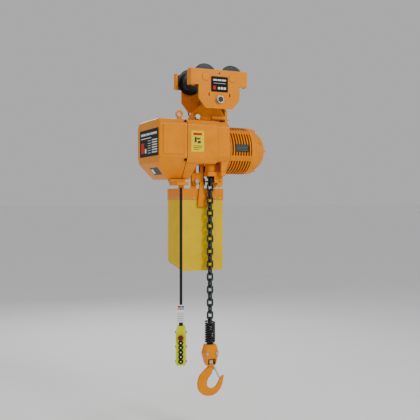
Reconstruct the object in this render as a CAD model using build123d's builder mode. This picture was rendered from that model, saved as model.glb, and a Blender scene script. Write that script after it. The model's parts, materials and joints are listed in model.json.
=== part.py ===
"""Electric chain hoist hung from a powered beam trolley. All lengths are in millimetres.

Frame: the origin is on the running surface of the beam's lower flange, midway between the four wheels.
+X runs along the beam and the motor axis, +Y across the beam away from the operator, +Z up.
"""
import os
from math import asin, atan2, cos, degrees, pi, radians, sin, sqrt

from build123d import *

os.makedirs("parts", exist_ok=True)

# ---- driving dimensions: trolley ----
PLATE_GAP = 190.0  # between the inner faces of the two side plates
PLATE_THICK = 8.0
PLATE_TOP = 82.0
PLATE_BOTTOM = -95.0
WING_HALF = 145.0  # half width across the bent wings
WING_BOTTOM = 10.0
WING_DEPTH = 38.0
BODY_HALF = 104.0  # half width below the wings
TOE_HALF = 68.0  # half width of the bottom edge
TOE_RISE = 44.0
TREAD_R = 48.0
FLANGE_R = 61.0
AXLE_R = 14.0
AXLE_X = 67.0
SHAFT_R = 13.0
SHAFT_Z = -54.0
RUNNING = 0.05  # radial clearance of a shaft in its bore
TROLLEY_MODULE = 2.8
WHEEL_TEETH = 40
PINION_TEETH = 12

# ---- driving dimensions: hoist body ----
SEAM_X = -153.0  # joint between control cover and centre housing
COVER_END_X = -290.0
HOUSING_X = 0.0  # right end of the wide part of the centre housing
NECK_X = 63.0  # right end of its narrow part
FLANGE_X = 75.0  # face that the motor bolts to
TOP_Z = -147.0
FRONT_Y = -91.0
BACK_Y = 201.0
BELLY_Z = -347.0  # underside of the centre housing
SKIRT_Z = -418.0  # underside at the seam
MOTOR_R = 113.0
RING_X = 190.0
MOTOR_END_X = 214.0
DOME_X = 290.0

# ---- driving dimensions: chain and gears ----
CHAIN_WIRE = 9.7  # 10 mm chain, with a little slack where links bear on each other
CHAIN_PITCH = 30.0
LINK_HALF_WIDTH = 17.0
POCKETS = 5
AXIS_Z = -275.0
APOTHEM = CHAIN_PITCH / 2 / sin(pi / (2 * POCKETS)) * cos(pi / (2 * POCKETS))
AXIS_Y = APOTHEM  # the load chain hangs at Y = 0
SLACK_Y = 2 * APOTHEM
FIRST_MODULE = 1.6
FIRST_PINION = 10
FIRST_GEAR = 75
SECOND_MODULE = 2.0
SECOND_PINION = 8
SECOND_GEAR = 60
GEAR_CENTRES = SECOND_MODULE * (SECOND_PINION + SECOND_GEAR) / 2
GEAR_ANGLE = radians(36)
COUNTER_Y = AXIS_Y + GEAR_CENTRES * cos(GEAR_ANGLE)
COUNTER_Z = AXIS_Z + GEAR_CENTRES * sin(GEAR_ANGLE)

# ---- driving dimensions: hook side ----
STATIC_LINKS = 2  # links of the load side that stay drawn in the housing
LAST_LINK = 31
SPRING_TOP = -1079.0
BLOCK_TOP = -1190.0
BLOCK_WIDEST = -1231.0
BLOCK_BOTTOM = -1292.0
SHANK_R = 12.0
LATCH_PIVOT = (19.0, -1304.0)

# ---- driving dimensions: container and pendant ----
BAG_X0, BAG_X1 = -137.0, 82.0
BAG_Y0, BAG_Y1 = 31.0, 190.0
COLLAR_TOP, COLLAR_BOTTOM = -458.0, -511.0
BAG_BOTTOM, BAG_BACK_BOTTOM = -846.0, -818.0
PENDANT_X, PENDANT_Y = -173.0, -60.0
PENDANT_TURN = radians(25)  # the pendant hangs turned towards the operator
PENDANT_TOP, PENDANT_BOTTOM = -1082.0, -1259.0
PENDANT_WIDTH, PENDANT_HALF_DEPTH = 46.0, 22.0
CABLE_R = 6.5
CABLE_TOP, CABLE_BOTTOM = -457.0, -1070.0
BUTTON_Z = [-1134.0] + [-1157.0 - 20.8 * n for n in range(5)]


def at_y(y):
    """Plane across the beam axis at Y = y, facing +Y; its x is -X."""
    return Plane(origin=(0, y, 0), x_dir=(-1, 0, 0), z_dir=(0, 1, 0))


def gear_points(teeth, module, turn=0.0):
    """Corners of a gear outline with straight-sided teeth, one tooth centred on the angle turn."""
    pitch_r = teeth * module / 2
    step = 2 * pi / teeth
    points = []
    for tooth in range(teeth):
        centre = turn + tooth * step
        for radius, share in (
            (pitch_r - 1.1 * module, -0.31),
            (pitch_r + 0.8 * module, -0.10),
            (pitch_r + 0.8 * module, 0.10),
            (pitch_r - 1.1 * module, 0.31),
        ):
            angle = centre + share * step
            points.append((radius * cos(angle), radius * sin(angle)))
    return points


def mating_turn(towards, tooth_at, teeth, mate_teeth):
    """Angle of a tooth of the mate that lies in the direction towards, so that it meshes with a gear's tooth."""
    return towards + pi - (tooth_at - towards) * teeth / mate_teeth + pi / mate_teeth


def outline(points):
    """A filled face from corner points, added to the sketch that is open."""
    Polygon(*points, align=None)


# =========================== trolley ===========================
plate_points = [
    (-WING_HALF, PLATE_TOP),
    (WING_HALF, PLATE_TOP),
    (WING_HALF, WING_BOTTOM),
    (BODY_HALF, WING_BOTTOM),
    (BODY_HALF, PLATE_BOTTOM + TOE_RISE),
    (TOE_HALF, PLATE_BOTTOM),
    (-TOE_HALF, PLATE_BOTTOM),
    (-BODY_HALF, PLATE_BOTTOM + TOE_RISE),
    (-BODY_HALF, WING_BOTTOM),
    (-WING_HALF, WING_BOTTOM),
]
with BuildPart() as trolley_plate_front:
    with BuildSketch(Plane.XZ.offset(PLATE_GAP / 2)) as plate_face:
        outline(plate_points)
        notch_corners = [v for v in vertices() if abs(abs(v.X) - BODY_HALF) < 1 and abs(v.Z - WING_BOTTOM) < 1]
        fillet(notch_corners, radius=11)
        with Locations((0, SHAFT_Z)):
            Circle(SHAFT_R, mode=Mode.SUBTRACT)
        with Locations((-AXLE_X, TREAD_R), (AXLE_X, TREAD_R)):
            Circle(AXLE_R, mode=Mode.SUBTRACT)
        with Locations((0, 66)):
            Circle(4.5, mode=Mode.SUBTRACT)
        with Locations((-52, -32), (52, -32)):
            SlotOverall(17, 6, rotation=90, mode=Mode.SUBTRACT)
    extrude(amount=PLATE_THICK)
    for side in (-1, 1):
        with BuildSketch(Plane.XY.offset(WING_BOTTOM)):
            with Locations((side * (WING_HALF - PLATE_THICK / 2), -PLATE_GAP / 2 - PLATE_THICK + WING_DEPTH / 2)):
                Rectangle(PLATE_THICK, WING_DEPTH)
        extrude(amount=PLATE_TOP - WING_BOTTOM)
    outer_corners = [
        e for e in edges().filter_by(Axis.Z)
        if abs(abs(e.center().X) - WING_HALF) < 0.1 and abs(e.center().Y + PLATE_GAP / 2 + PLATE_THICK) < 0.1
    ]
    fillet(outer_corners, radius=7)
trolley_plate_front.part.label = "trolley_plate_front"
export_step(trolley_plate_front.part, "parts/trolley_plate_front.step")

pinion_drop = sqrt((TROLLEY_MODULE * (WHEEL_TEETH + PINION_TEETH) / 2) ** 2 - AXLE_X**2)
PINION_Z = TREAD_R - pinion_drop
with BuildPart() as trolley_plate_rear:
    mirror(trolley_plate_front.part, about=Plane.XZ)
    with BuildSketch(at_y(PLATE_GAP / 2)):
        with Locations((0, PINION_Z)):
            Circle(12)
    extrude(amount=PLATE_THICK, mode=Mode.SUBTRACT)
trolley_plate_rear.part.label = "trolley_plate_rear"
export_step(trolley_plate_rear.part, "parts/trolley_plate_rear.step")

SHAFT_END = 119.0
with BuildPart() as suspension_shaft:
    with BuildSketch(at_y(-SHAFT_END)):
        with Locations((0, SHAFT_Z)):
            Circle(SHAFT_R)
    extrude(amount=2 * SHAFT_END)
    chamfer(edges().filter_by(GeomType.CIRCLE), length=2)
suspension_shaft.part.label = "suspension_shaft"
export_step(suspension_shaft.part, "parts/suspension_shaft.step")

YOKE_HALF = 26.0
NUT_ACROSS = 30.0
with BuildPart() as shaft_hardware:
    outer_face = PLATE_GAP / 2 + PLATE_THICK
    for side in (-1, 1):
        start = outer_face if side > 0 else -outer_face - 3
        with BuildSketch(at_y(start)):
            with Locations((0, SHAFT_Z)):
                Circle(18)
                Circle(SHAFT_R, mode=Mode.SUBTRACT)
        extrude(amount=3)
        start = outer_face + 3 if side > 0 else -outer_face - 14
        with BuildSketch(at_y(start)):
            with Locations((0, SHAFT_Z)):
                RegularPolygon(NUT_ACROSS / 2, 6, major_radius=False)
                Circle(SHAFT_R, mode=Mode.SUBTRACT)
        extrude(amount=11)
        start = YOKE_HALF + 0.5 if side > 0 else -PLATE_GAP / 2
        with BuildSketch(at_y(start)):
            with Locations((0, SHAFT_Z)):
                Circle(19)
                Circle(SHAFT_R, mode=Mode.SUBTRACT)
        extrude(amount=PLATE_GAP / 2 - YOKE_HALF - 0.5)
shaft_hardware.part.label = "shaft_hardware"
export_step(shaft_hardware.part, "parts/shaft_hardware.step")

TREAD_INNER_Y = 50.3
with BuildPart() as wheel_axles:
    for x in (-AXLE_X, AXLE_X):
        for side in (-1, 1):
            head = outer_face if side > 0 else -outer_face - 2.5
            with BuildSketch(at_y(head)):
                with Locations((-x, TREAD_R)):
                    Circle(19)
            extrude(amount=2.5)
            stub = 47.0 if side > 0 else -outer_face
            with BuildSketch(at_y(stub)):
                with Locations((-x, TREAD_R)):
                    Circle(AXLE_R)
            extrude(amount=outer_face - 47.0)
            washer = 47.0 if side > 0 else -TREAD_INNER_Y + 0.3
            with BuildSketch(at_y(washer)):
                with Locations((-x, TREAD_R)):
                    Circle(20)
            extrude(amount=3)
wheel_axles.part.label = "wheel_axles"
export_step(wheel_axles.part, "parts/wheel_axles.step")

with BuildPart() as trolley_nameplate:
    with BuildSketch(Plane.XZ.offset(outer_face)):
        with Locations((0, 16)):
            RectangleRounded(85, 70, 4)
    extrude(amount=1.5)
trolley_nameplate.part.label = "trolley_nameplate"
export_step(trolley_nameplate.part, "parts/trolley_nameplate.step")

FLANGE_OUTER_Y = 93.0
FLANGE_INNER_Y = 84.0
for x, name in ((-AXLE_X, "wheel_front_left"), (AXLE_X, "wheel_front_right")):
    with BuildPart() as front_wheel:
        with BuildSketch(Plane(origin=(x, 0, TREAD_R), x_dir=(0, 1, 0), z_dir=(1, 0, 0))):
            outline([
                (-FLANGE_OUTER_Y, AXLE_R + RUNNING),
                (-FLANGE_OUTER_Y, FLANGE_R - 3),
                (-FLANGE_OUTER_Y + 3, FLANGE_R),
                (-FLANGE_INNER_Y - 3, FLANGE_R),
                (-FLANGE_INNER_Y, TREAD_R),
                (-TREAD_INNER_Y - 3, TREAD_R),
                (-TREAD_INNER_Y, TREAD_R - 3),
                (-TREAD_INNER_Y, AXLE_R + RUNNING),
            ])
        revolve(axis=Axis((x, 0, TREAD_R), (0, 1, 0)))
    front_wheel.part.label = name
    export_step(front_wheel.part, f"parts/{name}.step")

GEAR_Y0, GEAR_Y1 = 87.5, 93.0
# In planes that face +Y the local x runs along -X, so the left wheel lies on the pinion's local right.
towards_left = atan2(TREAD_R - PINION_Z, AXLE_X)
pinion_tooth = towards_left + pi / PINION_TEETH
for x, name in ((-AXLE_X, "wheel_rear_left"), (AXLE_X, "wheel_rear_right")):
    towards_wheel = towards_left if x < 0 else pi - towards_left
    tooth_turn = mating_turn(towards_wheel, pinion_tooth, PINION_TEETH, WHEEL_TEETH)
    with BuildPart() as rear_wheel:
        with BuildSketch(Plane(origin=(x, 0, TREAD_R), x_dir=(0, 1, 0), z_dir=(1, 0, 0))):
            outline([
                (GEAR_Y0, AXLE_R + RUNNING),
                (GEAR_Y0, FLANGE_R),
                (FLANGE_INNER_Y, FLANGE_R),
                (FLANGE_INNER_Y, TREAD_R),
                (TREAD_INNER_Y + 3, TREAD_R),
                (TREAD_INNER_Y, TREAD_R - 3),
                (TREAD_INNER_Y, AXLE_R + RUNNING),
            ])
        revolve(axis=Axis((x, 0, TREAD_R), (0, 1, 0)))
        with BuildSketch(Plane(origin=(x, GEAR_Y0, TREAD_R), x_dir=(-1, 0, 0), z_dir=(0, 1, 0))):
            outline(gear_points(WHEEL_TEETH, TROLLEY_MODULE, tooth_turn))
            Circle(AXLE_R + RUNNING, mode=Mode.SUBTRACT)
        extrude(amount=GEAR_Y1 - GEAR_Y0)
    rear_wheel.part.label = name
    export_step(rear_wheel.part, f"parts/{name}.step")

PINION_SHAFT_R = 8.0
with BuildPart() as trolley_pinion:
    with BuildSketch(Plane(origin=(0, GEAR_Y0 + 0.3, PINION_Z), x_dir=(-1, 0, 0), z_dir=(0, 1, 0))):
        outline(gear_points(PINION_TEETH, TROLLEY_MODULE, pinion_tooth))
    extrude(amount=GEAR_Y1 - GEAR_Y0 - 0.6)
    with BuildSketch(at_y(GEAR_Y0 + 0.3)):
        with Locations((0, PINION_Z)):
            Circle(PINION_SHAFT_R)
    extrude(amount=42)
trolley_pinion.part.label = "trolley_pinion"
export_step(trolley_pinion.part, "parts/trolley_pinion.step")

DRIVE_AXIS_Y = 152.0
DRIVE_AXIS_Z = 16.0
with BuildPart() as trolley_gearbox:
    with BuildSketch(at_y(outer_face)):
        with Locations((0, DRIVE_AXIS_Z)):
            RectangleRounded(94, 100, 12)
    extrude(amount=97)
    fillet(faces().sort_by(Axis.Y)[-1].edges(), radius=6)
    with BuildSketch(at_y(outer_face)):
        with Locations((0, PINION_Z)):
            Circle(PINION_SHAFT_R + RUNNING)
    extrude(amount=30, mode=Mode.SUBTRACT)
trolley_gearbox.part.label = "trolley_gearbox"
export_step(trolley_gearbox.part, "parts/trolley_gearbox.step")

DRIVE_MOTOR_X0, DRIVE_MOTOR_X1 = 47.0, 188.0
with BuildPart() as trolley_motor:
    with BuildSketch(Plane.YZ.offset(DRIVE_MOTOR_X0)):
        with Locations((DRIVE_AXIS_Y, DRIVE_AXIS_Z)):
            Circle(42)
    extrude(amount=DRIVE_MOTOR_X1 - DRIVE_MOTOR_X0)
    fillet(faces().sort_by(Axis.X)[-1].edges(), radius=12)
    for fin in range(8):
        with BuildSketch(Plane.YZ.offset(DRIVE_MOTOR_X0 + 12 + 13 * fin)):
            with Locations((DRIVE_AXIS_Y, DRIVE_AXIS_Z)):
                Circle(47)
        extrude(amount=5)
trolley_motor.part.label = "trolley_motor"
export_step(trolley_motor.part, "parts/trolley_motor.step")

# =========================== suspension ===========================
PIN_Z = -128.0
PIN_R = 8.0
YOKE_BOTTOM = -140.0
LUG_X0 = 63.0
BOLT_X, BOLT_Z = -82.0, -129.0
BOLT_R = 6.0
with BuildPart() as suspension_yoke:
    with BuildSketch(Plane.XZ.offset(-YOKE_HALF)):
        with Locations((0, SHAFT_Z)):
            Circle(32)
        outline([(-31, -60), (-97, -114), (-97, YOKE_BOTTOM), (LUG_X0, YOKE_BOTTOM), (LUG_X0, -116), (31, -60)])
        with Locations((0, SHAFT_Z)):
            Circle(SHAFT_R + RUNNING, mode=Mode.SUBTRACT)
        with Locations((BOLT_X, BOLT_Z)):
            Circle(BOLT_R, mode=Mode.SUBTRACT)
    extrude(amount=2 * YOKE_HALF)
    with BuildSketch(Plane.YZ.offset(-6)):
        with Locations((-YOKE_HALF, PIN_Z)):
            Circle(11)
    extrude(amount=LUG_X0 + 6)
    with BuildSketch(Plane.YZ.offset(8)):
        with Locations((0, PIN_Z)):
            Circle(PIN_R)
    extrude(amount=LUG_X0 - 8, mode=Mode.SUBTRACT)
suspension_yoke.part.label = "suspension_yoke"
export_step(suspension_yoke.part, "parts/suspension_yoke.step")

EAR_THICK = 10.0
EAR_Y = YOKE_HALF + 0.2
BAG_BOLT_X, BAG_BOLT_Z = -64.0, -426.0
with BuildPart() as suspension_bolts:
    with BuildSketch(at_y(-EAR_Y - EAR_THICK - 12)):
        with Locations((-BOLT_X, BOLT_Z)):
            Circle(BOLT_R)
    extrude(amount=2 * (EAR_Y + EAR_THICK) + 24)
    for start in (-EAR_Y - EAR_THICK - 9, EAR_Y + EAR_THICK):
        with BuildSketch(at_y(start)):
            with Locations((-BOLT_X, BOLT_Z)):
                RegularPolygon(11, 6, major_radius=False)
        extrude(amount=9)
    with BuildSketch(Plane.YZ.offset(8)):
        with Locations((0, PIN_Z)):
            Circle(PIN_R)
    extrude(amount=84)
    with BuildSketch(Plane.YZ.offset(92)):
        with Locations((0, PIN_Z)):
            Circle(PIN_R)
    extrude(amount=9, taper=35)
    with BuildSketch(Plane.YZ.offset(FLANGE_X)):
        with Locations((0, PIN_Z)):
            RegularPolygon(13, 6, major_radius=False)
    extrude(amount=9)
    with BuildSketch(at_y(5)):
        with Locations((-BAG_BOLT_X, BAG_BOLT_Z)):
            RegularPolygon(9, 6, major_radius=False)
    extrude(amount=8)
    with BuildSketch(at_y(13)):
        with Locations((-BAG_BOLT_X, BAG_BOLT_Z)):
            Circle(5)
    extrude(amount=16)
suspension_bolts.part.label = "suspension_bolts"
export_step(suspension_bolts.part, "parts/suspension_bolts.step")

# =========================== hoist body ===========================
seam_points = [
    (-67, TOP_Z), (FRONT_Y, -170), (FRONT_Y, -317), (-20, SKIRT_Z),
    (130, SKIRT_Z), (BACK_Y, -317), (BACK_Y, -170), (177, TOP_Z),
]
wide_points = [
    (-67, TOP_Z), (FRONT_Y, -172), (FRONT_Y, -318), (-76, BELLY_Z),
    (186, BELLY_Z), (BACK_Y, -318), (BACK_Y, -172), (177, TOP_Z),
]
neck_points = [
    (-58, -151), (-80, -174), (-80, -312), (-64, -336),
    (162, -336), (178, -312), (178, -174), (156, -151),
]
WALL = 5.0
CASE_X0, CASE_X1 = -149.0, -36.0  # gear cavity
WHEEL_X = 28.0  # half width of the load wheel's chamber
CHAMBER_R = 66.0
BEARING_R = 32.0
HUB_R = 20.0
CHAIN_WAY = 19.0
with BuildPart() as centre_housing:
    with BuildSketch(Plane.YZ.offset(SEAM_X)):
        outline(wide_points)
        fillet(vertices(), radius=13)
    extrude(amount=HOUSING_X - SEAM_X)
    fillet(faces().sort_by(Axis.X)[-1].edges(), radius=9)
    with BuildSketch(Plane.YZ.offset(SEAM_X)):
        outline(seam_points)
        fillet(vertices(), radius=13)
    extrude(amount=56)
    with BuildSketch(Plane.XZ.offset(-BACK_Y)):
        outline([(-116, SKIRT_Z - 5), (-88, SKIRT_Z - 5), (-88, BELLY_Z + 0.5), (-96, BELLY_Z - 1)])
    extrude(amount=BACK_Y - FRONT_Y, mode=Mode.SUBTRACT)
    with BuildSketch(Plane.YZ.offset(HOUSING_X - 12)):
        outline(neck_points)
        fillet(vertices(), radius=12)
    extrude(amount=NECK_X - HOUSING_X + 12)
    with BuildSketch(Plane.YZ.offset(NECK_X)):
        with Locations((AXIS_Y, AXIS_Z)):
            Circle(MOTOR_R + 3)
        with Locations((0, -110)):
            Circle(30)
        with Locations((0, -150)):
            Rectangle(60, 80)
    extrude(amount=FLANGE_X - NECK_X)
    with BuildSketch(Plane.XZ.offset(50)):
        outline([(58, -290), (FLANGE_X, -290), (FLANGE_X, -318), (50, -381), (30, -381), (30, -330)])
    extrude(amount=12)
    for start in (-EAR_Y - EAR_THICK, EAR_Y):
        with BuildSketch(at_y(start)):
            with Locations((-BOLT_X, BOLT_Z)):
                Circle(15)
            with Locations((-BOLT_X, (BOLT_Z + TOP_Z) / 2 - 2)):
                Rectangle(30, BOLT_Z - TOP_Z + 4)
            with Locations((-BOLT_X, BOLT_Z)):
                Circle(BOLT_R, mode=Mode.SUBTRACT)
        extrude(amount=EAR_THICK)
    # gear cavity, open towards the control cover
    with BuildSketch(Plane.YZ.offset(SEAM_X)):
        outline(wide_points)
        fillet(vertices(), radius=13)
        offset(amount=-WALL, mode=Mode.REPLACE)
    extrude(amount=CASE_X1 - SEAM_X, mode=Mode.SUBTRACT)
    with BuildSketch(Plane.YZ.offset(SEAM_X)):
        outline(seam_points)
        fillet(vertices(), radius=13)
        offset(amount=-WALL, mode=Mode.REPLACE)
    extrude(amount=12, mode=Mode.SUBTRACT)
    # chamber for the load wheel and the two ways the chain takes down out of it
    with BuildSketch(Plane.YZ.offset(-WHEEL_X)):
        with Locations((AXIS_Y, AXIS_Z)):
            Circle(CHAMBER_R)
    extrude(amount=2 * WHEEL_X, mode=Mode.SUBTRACT)
    for y, top in ((0.0, TOP_Z - WALL), (SLACK_Y, AXIS_Z)):
        with BuildSketch(Plane.XY.offset(BELLY_Z - 1)):
            with Locations((0, y)):
                Circle(CHAIN_WAY)
        extrude(amount=top - BELLY_Z + 1, mode=Mode.SUBTRACT)
    with BuildSketch(Plane.YZ.offset(CASE_X1)):
        with Locations((AXIS_Y, AXIS_Z)):
            Circle(BEARING_R)
    extrude(amount=39 - CASE_X1, mode=Mode.SUBTRACT)
    with BuildSketch(Plane.YZ.offset(39)):
        with Locations((AXIS_Y, AXIS_Z)):
            Circle(20)
    extrude(amount=FLANGE_X - 39, mode=Mode.SUBTRACT)
    with BuildSketch(Plane.YZ.offset(NECK_X)):
        with Locations((0, PIN_Z)):
            Circle(PIN_R)
    extrude(amount=FLANGE_X - NECK_X, mode=Mode.SUBTRACT)
    with BuildSketch(Plane.YZ.offset(CASE_X1)):
        with Locations((COUNTER_Y, COUNTER_Z)):
            Circle(12)
    extrude(amount=7, mode=Mode.SUBTRACT)
centre_housing.part.label = "centre_housing"
export_step(centre_housing.part, "parts/centre_housing.step")

CASE_COVER_X = -118.0
with BuildPart() as gearcase_cover:
    with BuildSketch(Plane.YZ.offset(CASE_COVER_X)):
        outline(wide_points)
        fillet(vertices(), radius=13)
        offset(amount=-WALL - 0.3, mode=Mode.REPLACE)
    extrude(amount=6)
    for y, z in ((AXIS_Y, AXIS_Z), (COUNTER_Y, COUNTER_Z)):
        with BuildSketch(Plane.YZ.offset(CASE_COVER_X + 6)):
            with Locations((y, z)):
                Circle(16)
        extrude(amount=6)
        with BuildSketch(Plane.YZ.offset(CASE_COVER_X + 2)):
            with Locations((y, z)):
                Circle(12)
        extrude(amount=10, mode=Mode.SUBTRACT)
gearcase_cover.part.label = "gearcase_cover"
export_step(gearcase_cover.part, "parts/gearcase_cover.step")

PANEL_PROUD = 5.0
BEVEL_TOP_Z = -345.0
BEVEL_FOOT_X = -235.0


def bevel_points(inset):
    """The corner cut off the lower end of the control cover, moved in by an inset."""
    return [
        (COVER_END_X - 30, BEVEL_TOP_Z + inset + 30 * (BEVEL_TOP_Z - SKIRT_Z) / (BEVEL_FOOT_X - COVER_END_X)),
        (COVER_END_X - 30, SKIRT_Z - 30),
        (BEVEL_FOOT_X + inset + 30 * (BEVEL_FOOT_X - COVER_END_X) / (BEVEL_TOP_Z - SKIRT_Z), SKIRT_Z - 30),
    ]


with BuildPart() as control_cover:
    with BuildSketch(Plane.YZ.offset(COVER_END_X)):
        outline(seam_points)
        fillet(vertices(), radius=13)
    extrude(amount=SEAM_X - 1 - COVER_END_X)
    fillet(faces().sort_by(Axis.X)[0].edges(), radius=9)
    with BuildSketch(Plane.XZ.offset(-FRONT_Y)):
        with Locations(((COVER_END_X + SEAM_X) / 2 - 1, -243)):
            Rectangle(104, 134)
    extrude(amount=PANEL_PROUD, taper=40)
    with BuildSketch(Plane.XZ.offset(-BACK_Y - 1)):
        outline(bevel_points(0))
    extrude(amount=BACK_Y - FRONT_Y + 10, mode=Mode.SUBTRACT)
    with BuildPart(mode=Mode.PRIVATE) as cover_inside:
        with BuildSketch(Plane.YZ.offset(COVER_END_X + WALL)):
            outline(seam_points)
            fillet(vertices(), radius=13)
            offset(amount=-WALL, mode=Mode.REPLACE)
        extrude(amount=SEAM_X - 1 - COVER_END_X - WALL)
        with BuildSketch(Plane.XZ.offset(-BACK_Y - 1)):
            outline(bevel_points(WALL + 2))
        extrude(amount=BACK_Y - FRONT_Y + 10, mode=Mode.SUBTRACT)
    add(cover_inside.part, mode=Mode.SUBTRACT)
control_cover.part.label = "control_cover"
export_step(control_cover.part, "parts/control_cover.step")

SCREW_X = -161.0
DOME_SCREWS = 8
DOME_SCREW_R = 104.0
RIM_THICK = 14.0
DOME_R = 97.5
with BuildPart() as housing_screws:
    for z, inset in ((-158, 12), (-332, 10)):
        with BuildSketch(Plane.XZ.offset(-FRONT_Y - inset)):
            with Locations((SCREW_X, z)):
                Circle(6)
        extrude(amount=6)
        with BuildSketch(at_y(BACK_Y - inset)):
            with Locations((-SCREW_X, z)):
                Circle(6)
        extrude(amount=6)
    with BuildSketch(Plane.YZ.offset(MOTOR_END_X + RIM_THICK)):
        with Locations((AXIS_Y, AXIS_Z)):
            with PolarLocations(DOME_SCREW_R, DOME_SCREWS, start_angle=22.5):
                Circle(6)
    extrude(amount=9)
housing_screws.part.label = "housing_screws"
export_step(housing_screws.part, "parts/housing_screws.step")

EYE_X, EYE_Y = -165.0, -20.0
EYE_HOLE_R = 9.5
EYE_THICK = 8.0
EYE_Z = -119.0
with BuildPart() as lifting_eye:
    with BuildSketch(Plane.XZ.offset(-EYE_Y - EYE_THICK / 2)):
        with Locations((EYE_X, EYE_Z)):
            Circle(18)
        with Locations((EYE_X, EYE_Z - 14)):
            Rectangle(20, 20)
        with Locations((EYE_X, EYE_Z)):
            Circle(EYE_HOLE_R, mode=Mode.SUBTRACT)
    extrude(amount=EYE_THICK)
    with BuildSketch(Plane.XY.offset(TOP_Z)):
        with Locations((EYE_X, EYE_Y)):
            Circle(14)
    extrude(amount=6)
lifting_eye.part.label = "lifting_eye"
export_step(lifting_eye.part, "parts/lifting_eye.step")

# =========================== motor ===========================
CORE_R = 100.0
BORE_R = 96.0
FIN_COUNT = 8
FIN_PITCH = 14.2
BAND_COUNT = 5
BEARING_X = 196.0
with BuildPart() as motor_housing:
    with BuildSketch(Plane.YZ.offset(FLANGE_X)):
        with Locations((AXIS_Y, AXIS_Z)):
            Circle(CORE_R)
    extrude(amount=MOTOR_END_X - FLANGE_X)
    for fin in range(FIN_COUNT):
        with BuildSketch(Plane.YZ.offset(FLANGE_X + 4 + FIN_PITCH * fin)):
            with Locations((AXIS_Y, AXIS_Z)):
                Circle(MOTOR_R)
        extrude(amount=5.5)
    with BuildSketch(Plane.YZ.offset(RING_X)):
        with Locations((AXIS_Y, AXIS_Z)):
            Circle(MOTOR_R)
    extrude(amount=MOTOR_END_X - RING_X)
    for band in range(BAND_COUNT):
        angle = radians(130 + 360 / BAND_COUNT * band)
        plane = Plane(
            origin=(FLANGE_X, AXIS_Y, AXIS_Z), x_dir=(0, cos(angle), sin(angle)), z_dir=(1, 0, 0)
        )
        with BuildSketch(plane):
            with Locations(((CORE_R + MOTOR_R) / 2 - 1.5, 0)):
                Rectangle(MOTOR_R - CORE_R, 26)
        extrude(amount=RING_X - FLANGE_X)
    with BuildSketch(Plane.YZ.offset(FLANGE_X)):
        with Locations((AXIS_Y, AXIS_Z)):
            Circle(BORE_R)
    extrude(amount=BEARING_X - FLANGE_X, mode=Mode.SUBTRACT)
    with BuildSketch(Plane.YZ.offset(BEARING_X)):
        with Locations((AXIS_Y, AXIS_Z)):
            Circle(20)
    extrude(amount=10, mode=Mode.SUBTRACT)
    with BuildSketch(Plane.YZ.offset(BEARING_X + 10)):
        with Locations((AXIS_Y, AXIS_Z)):
            Circle(BORE_R)
    extrude(amount=MOTOR_END_X - BEARING_X - 10, mode=Mode.SUBTRACT)
motor_housing.part.label = "motor_housing"
export_step(motor_housing.part, "parts/motor_housing.step")

BOSS_RING_R = 44.0
BOSS_COUNT = 6
BOSS_R = 5.5
BOSS_PROUD = 5.0
with BuildPart() as motor_end_cover:
    with BuildSketch(Plane.XZ) as dome_profile:
        with BuildLine():
            Polyline(
                (MOTOR_END_X, 0), (MOTOR_END_X, MOTOR_R - 2), (MOTOR_END_X + RIM_THICK, MOTOR_R - 2),
                (MOTOR_END_X + RIM_THICK, DOME_R),
            )
            ThreePointArc((MOTOR_END_X + RIM_THICK, DOME_R), (MOTOR_END_X + 57, 77), (DOME_X, 40))
            Polyline((DOME_X, 40), (DOME_X, 0), (MOTOR_END_X, 0))
        make_face()
        with BuildLine(mode=Mode.PRIVATE) as hollow_line:
            Polyline(
                (MOTOR_END_X, 0), (MOTOR_END_X, DOME_R - 5), (MOTOR_END_X + RIM_THICK, DOME_R - 5),
            )
            ThreePointArc(
                (MOTOR_END_X + RIM_THICK, DOME_R - 5), (MOTOR_END_X + 53, 73), (DOME_X - 5, 38),
            )
            Polyline((DOME_X - 5, 38), (DOME_X - 5, 0), (MOTOR_END_X, 0))
        make_face(hollow_line.edges(), mode=Mode.SUBTRACT)
    revolve(axis=Axis.X)
    with BuildSketch(Plane.YZ.offset(DOME_X - 8)):
        Circle(9)
        with PolarLocations(BOSS_RING_R, BOSS_COUNT):
            Circle(BOSS_R)
    extrude(amount=8 + BOSS_PROUD)
motor_end_cover.part.position = (0, AXIS_Y, AXIS_Z)
motor_end_cover.part.label = "motor_end_cover"
export_step(motor_end_cover.part, "parts/motor_end_cover.step")

with BuildPart() as stator:
    with BuildSketch(Plane.YZ.offset(96)):
        with Locations((AXIS_Y, AXIS_Z)):
            Circle(BORE_R)
            Circle(62, mode=Mode.SUBTRACT)
    extrude(amount=84)
stator.part.label = "stator"
export_step(stator.part, "parts/stator.step")

ROTOR_SHAFT_R = 9.0
with BuildPart() as rotor:
    for x0, x1, radius in (
        (-50, 262, ROTOR_SHAFT_R), (-114, -50, 5.5), (100, 176, 61), (232, 238, 60),
    ):
        with BuildSketch(Plane.YZ.offset(x0)):
            with Locations((AXIS_Y, AXIS_Z)):
                Circle(radius)
        extrude(amount=x1 - x0)
    with BuildSketch(Plane(origin=(-104, AXIS_Y, AXIS_Z), x_dir=(0, 1, 0), z_dir=(1, 0, 0))):
        outline(gear_points(FIRST_PINION, FIRST_MODULE, GEAR_ANGLE + pi / FIRST_PINION))
    extrude(amount=18)
rotor.part.label = "rotor"
export_step(rotor.part, "parts/rotor.step")

with BuildPart() as brake_magnet:
    with BuildSketch(Plane.YZ.offset(MOTOR_END_X)):
        with Locations((AXIS_Y, AXIS_Z)):
            Circle(60)
            Circle(ROTOR_SHAFT_R + 2, mode=Mode.SUBTRACT)
    extrude(amount=17)
brake_magnet.part.label = "brake_magnet"
export_step(brake_magnet.part, "parts/brake_magnet.step")

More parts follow.
